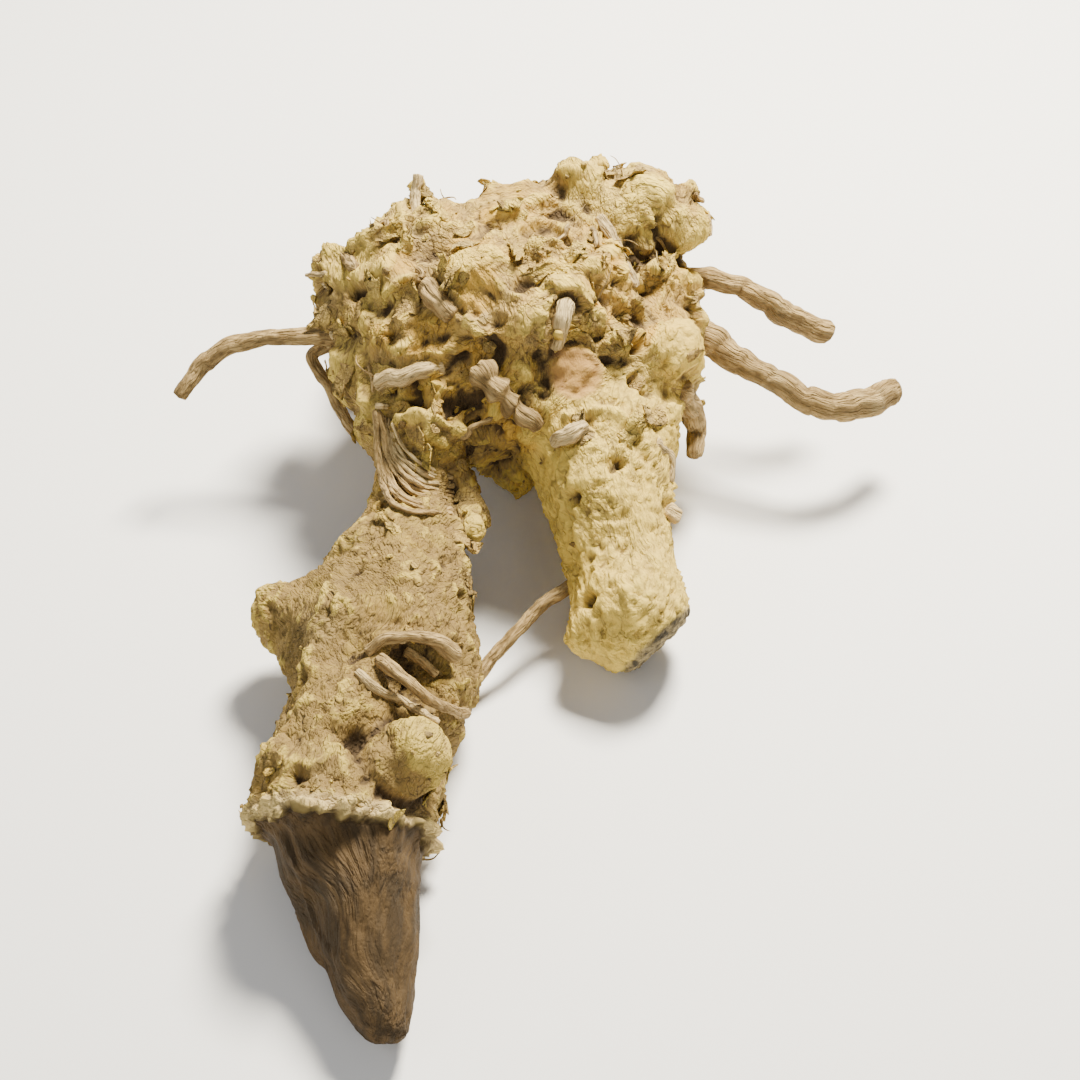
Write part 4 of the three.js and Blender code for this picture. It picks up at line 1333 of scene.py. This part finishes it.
class RHIZOME_OT_crust(bpy.types.Operator):
    """Scatters crumbs, curled flakes and torn flaps of crust over the skin"""

    bl_idname = "rhizome.crust"
    bl_label = "Crust"

    def execute(self, context):
        colours, sizes, _ = settings()
        material = crumb_material(colours)
        self.scatter("crust_crumbs", sizes.crumbs, sizes.crumb, material)
        self.scatter("crust_flakes", sizes.flakes, sizes.flake, material)
        self.flaps(material)
        return {"FINISHED"}

    def flaps(self, material):
        """Torn flaps of skin at the places that the viewer sees, and at random elsewhere."""
        tree = skin_tree()
        heap = Heap()
        spots, outward, across, chance = skin_spots(FLAP["count"], 501)
        for index in range(FLAP["count"]):
            size = [chance.uniform(*span) for span in FLAP_SIZES]
            points, faces = flap_shape(tree, spots[index], across[index], outward[index], size, index)
            heap.add(points, faces, chance.uniform(0.25, 1.0))
        for index, (right, up, turn, length, half, rise) in enumerate(FLAPS):
            place = on_skin(tree, right, up)
            normal = np.array(tree.find_nearest(Vector(place * MM))[1])
            turn = math.radians(turn)
            along = math.cos(turn) * np.array([1.0, 0, 0]) + math.sin(turn) * UP_THE_VIEW
            along = unit(along - normal * (along @ normal))
            points, faces = flap_shape(tree, place, along, normal, (length, half, rise), 90 + index)
            heap.add(points, faces, chance.uniform(0.4, 1.0))
        heap.made("torn_flaps", material)

    def scatter(self, name, count, width, material):
        """Copies of a ball, each stretched to the shape, made uneven, curled, leant and laid on the skin."""
        shape, sunk, curl, seed = CRUST[name]
        ball, faces = ball_shape()
        spots, outward, across, chance = skin_spots(count, seed)
        heap = Heap()
        other = np.cross(outward, across)
        for index in range(count):
            half = width * chance.uniform(0.45, 1.0) * chance.uniform(0.6, 1.35)
            rough = 1 + 0.42 * noise(ball + 9.0 * index, 0.9, seed)[:, None]
            local = ball * rough * np.asarray(shape) * chance.uniform(0.75, 1.25, 3) * half
            local[:, 2] += curl * local[:, 0] ** 2 / half
            lean = chance.normal(0, 0.16) if curl else 0.0
            local[:, 2] += lean * local[:, 0]
            turned = local[:, :1] * across[index] + local[:, 1:2] * other[index]
            turned += local[:, 2:] * outward[index]
            heap.add(spots[index] + outward[index] * half * (0.12 - sunk) + turned, faces, chance.uniform())
        return heap.made(name, material)


class RHIZOME_OT_hairs(bpy.types.Operator):
    """Makes the thin root hairs and loose fibres"""

    bl_idname = "rhizome.hairs"
    bl_label = "Hairs"

    def execute(self, context):
        colours, sizes, _ = settings()
        spots, outward, across, chance = skin_spots(sizes.hairs, 401)
        heap = Heap()
        for index in range(sizes.hairs):
            length = chance.uniform(*HAIR["length"])
            rise = chance.uniform(*HAIR["rise"])
            bend = np.cross(outward[index], across[index]) * chance.normal(0, 0.35)
            shares = np.linspace(0, 1, 4)[:, None]
            arch = rise * np.sin(2.2 * shares) * outward[index]
            line = spots[index] + length * (shares * across[index] + arch + shares**2 * bend)
            line[:, 2] = np.maximum(line[:, 2], 0.2)
            radius = chance.uniform(*HAIR["radius"]) * (1 - 0.5 * shares)
            heap.add_root(np.hstack([line, radius]), "hair", 411 + index, chance.uniform(0.2, 0.9))
        heap.made("root_hairs", rootlet_material(colours))
        return {"FINISHED"}


class RHIZOME_OT_stage(bpy.types.Operator):
    """Makes the floor, the lights and the camera"""

    bl_idname = "rhizome.stage"
    bl_label = "Stage"

    def execute(self, context):
        _, _, stage = settings()
        scene = context.scene
        self.floor(stage.floor)
        self.camera(scene, stage)
        for name, row in LIGHTS.items():
            self.light(name, *row)
        world = bpy.data.worlds.new("studio")
        world.use_nodes = True
        background = world.node_tree.nodes["Background"]
        background.inputs["Color"].default_value = (*SKY["colour"], 1)
        background.inputs["Strength"].default_value = SKY["strength"]
        scene.world = world
        return {"FINISHED"}

    def floor(self, colour):
        """A wide plain floor at the table's height."""
        half = FLOOR_HALF
        corners = [[-half, -half, 0], [half, -half, 0], [half, half, 0], [-half, half, 0]]
        floor = new_object("floor", corners, [[0, 1, 2, 3]])
        graph = Graph("floor_plain")
        fine = graph.noise(60.0, 2.0)
        paint = graph.mix(graph.ramp(fine, 0.3, 0.7) * 0.05, tuple(colour), (0.7, 0.69, 0.67))
        floor.data.materials.append(graph.finish(paint, 0.6, graph.bump(graph.noise(1.5), 0.04, 0.05)))

    def camera(self, scene, stage):
        """A camera on the viewer's line of sight, far enough that its frame is as high as stated."""
        data = bpy.data.cameras.new("camera")
        data.lens = stage.lens
        data.sensor_fit = "HORIZONTAL"
        data.clip_start = 0.01
        data.clip_end = 20
        camera = bpy.data.objects.new("camera", data)
        scene.collection.objects.link(camera)
        target = seen(CAMERA_TARGET)
        away = stage.frame_height * stage.lens / data.sensor_width
        camera.location = (target - SIGHT * away) * MM
        camera.rotation_euler = Vector(SIGHT).to_track_quat("-Z", "Y").to_euler()
        scene.camera = camera

    def light(self, name, place, width, power, colour):
        """A square soft light that faces the rhizome."""
        data = bpy.data.lights.new(name, "AREA")
        data.shape = "SQUARE"
        data.size = width * MM
        data.energy = power
        data.color = colour
        lamp = bpy.data.objects.new(name, data)
        bpy.context.scene.collection.objects.link(lamp)
        lamp.location = Vector(place) * MM
        aim = Vector(LIGHT_TARGET) * MM - lamp.location
        lamp.rotation_euler = aim.to_track_quat("-Z", "Y").to_euler()


class RHIZOME_PT_panel(bpy.types.Panel):
    """Lists the rhizome's steps and settings"""

    bl_idname = "RHIZOME_PT_panel"
    bl_label = "Rhizome"
    bl_space_type = "VIEW_3D"
    bl_region_type = "UI"
    bl_category = "Rhizome"

    def draw(self, context):
        for operator in OPERATORS:
            self.layout.operator(operator.bl_idname)
        for group in settings():
            for name in group.__annotations__:
                self.layout.prop(group, name)


GROUPS = {
    "rhizome_colours": RhizomeColours,
    "rhizome_sizes": RhizomeSizes,
    "rhizome_stage": RhizomeStage,
}
OPERATORS = (
    RHIZOME_OT_stage,
    RHIZOME_OT_skin,
    RHIZOME_OT_rootlets,
    RHIZOME_OT_crust,
    RHIZOME_OT_hairs,
)


def register():
    """Registers the classes and hangs the settings on the scene."""
    for group in (*GROUPS.values(), *OPERATORS, RHIZOME_PT_panel):
        bpy.utils.register_class(group)
    for name, group in GROUPS.items():
        setattr(bpy.types.Scene, name, PointerProperty(type=group))


def unregister():
    """Takes the settings and the classes away again."""
    for name in GROUPS:
        delattr(bpy.types.Scene, name)
    for group in (RHIZOME_PT_panel, *reversed(OPERATORS), *reversed(GROUPS.values())):
        bpy.utils.unregister_class(group)


def main():
    """Makes the stage and every piece."""
    register()
    bpy.ops.rhizome.stage()
    bpy.ops.rhizome.skin()
    bpy.ops.rhizome.rootlets()
    bpy.ops.rhizome.crust()
    bpy.ops.rhizome.hairs()


if __name__ == "__main__":
    main()
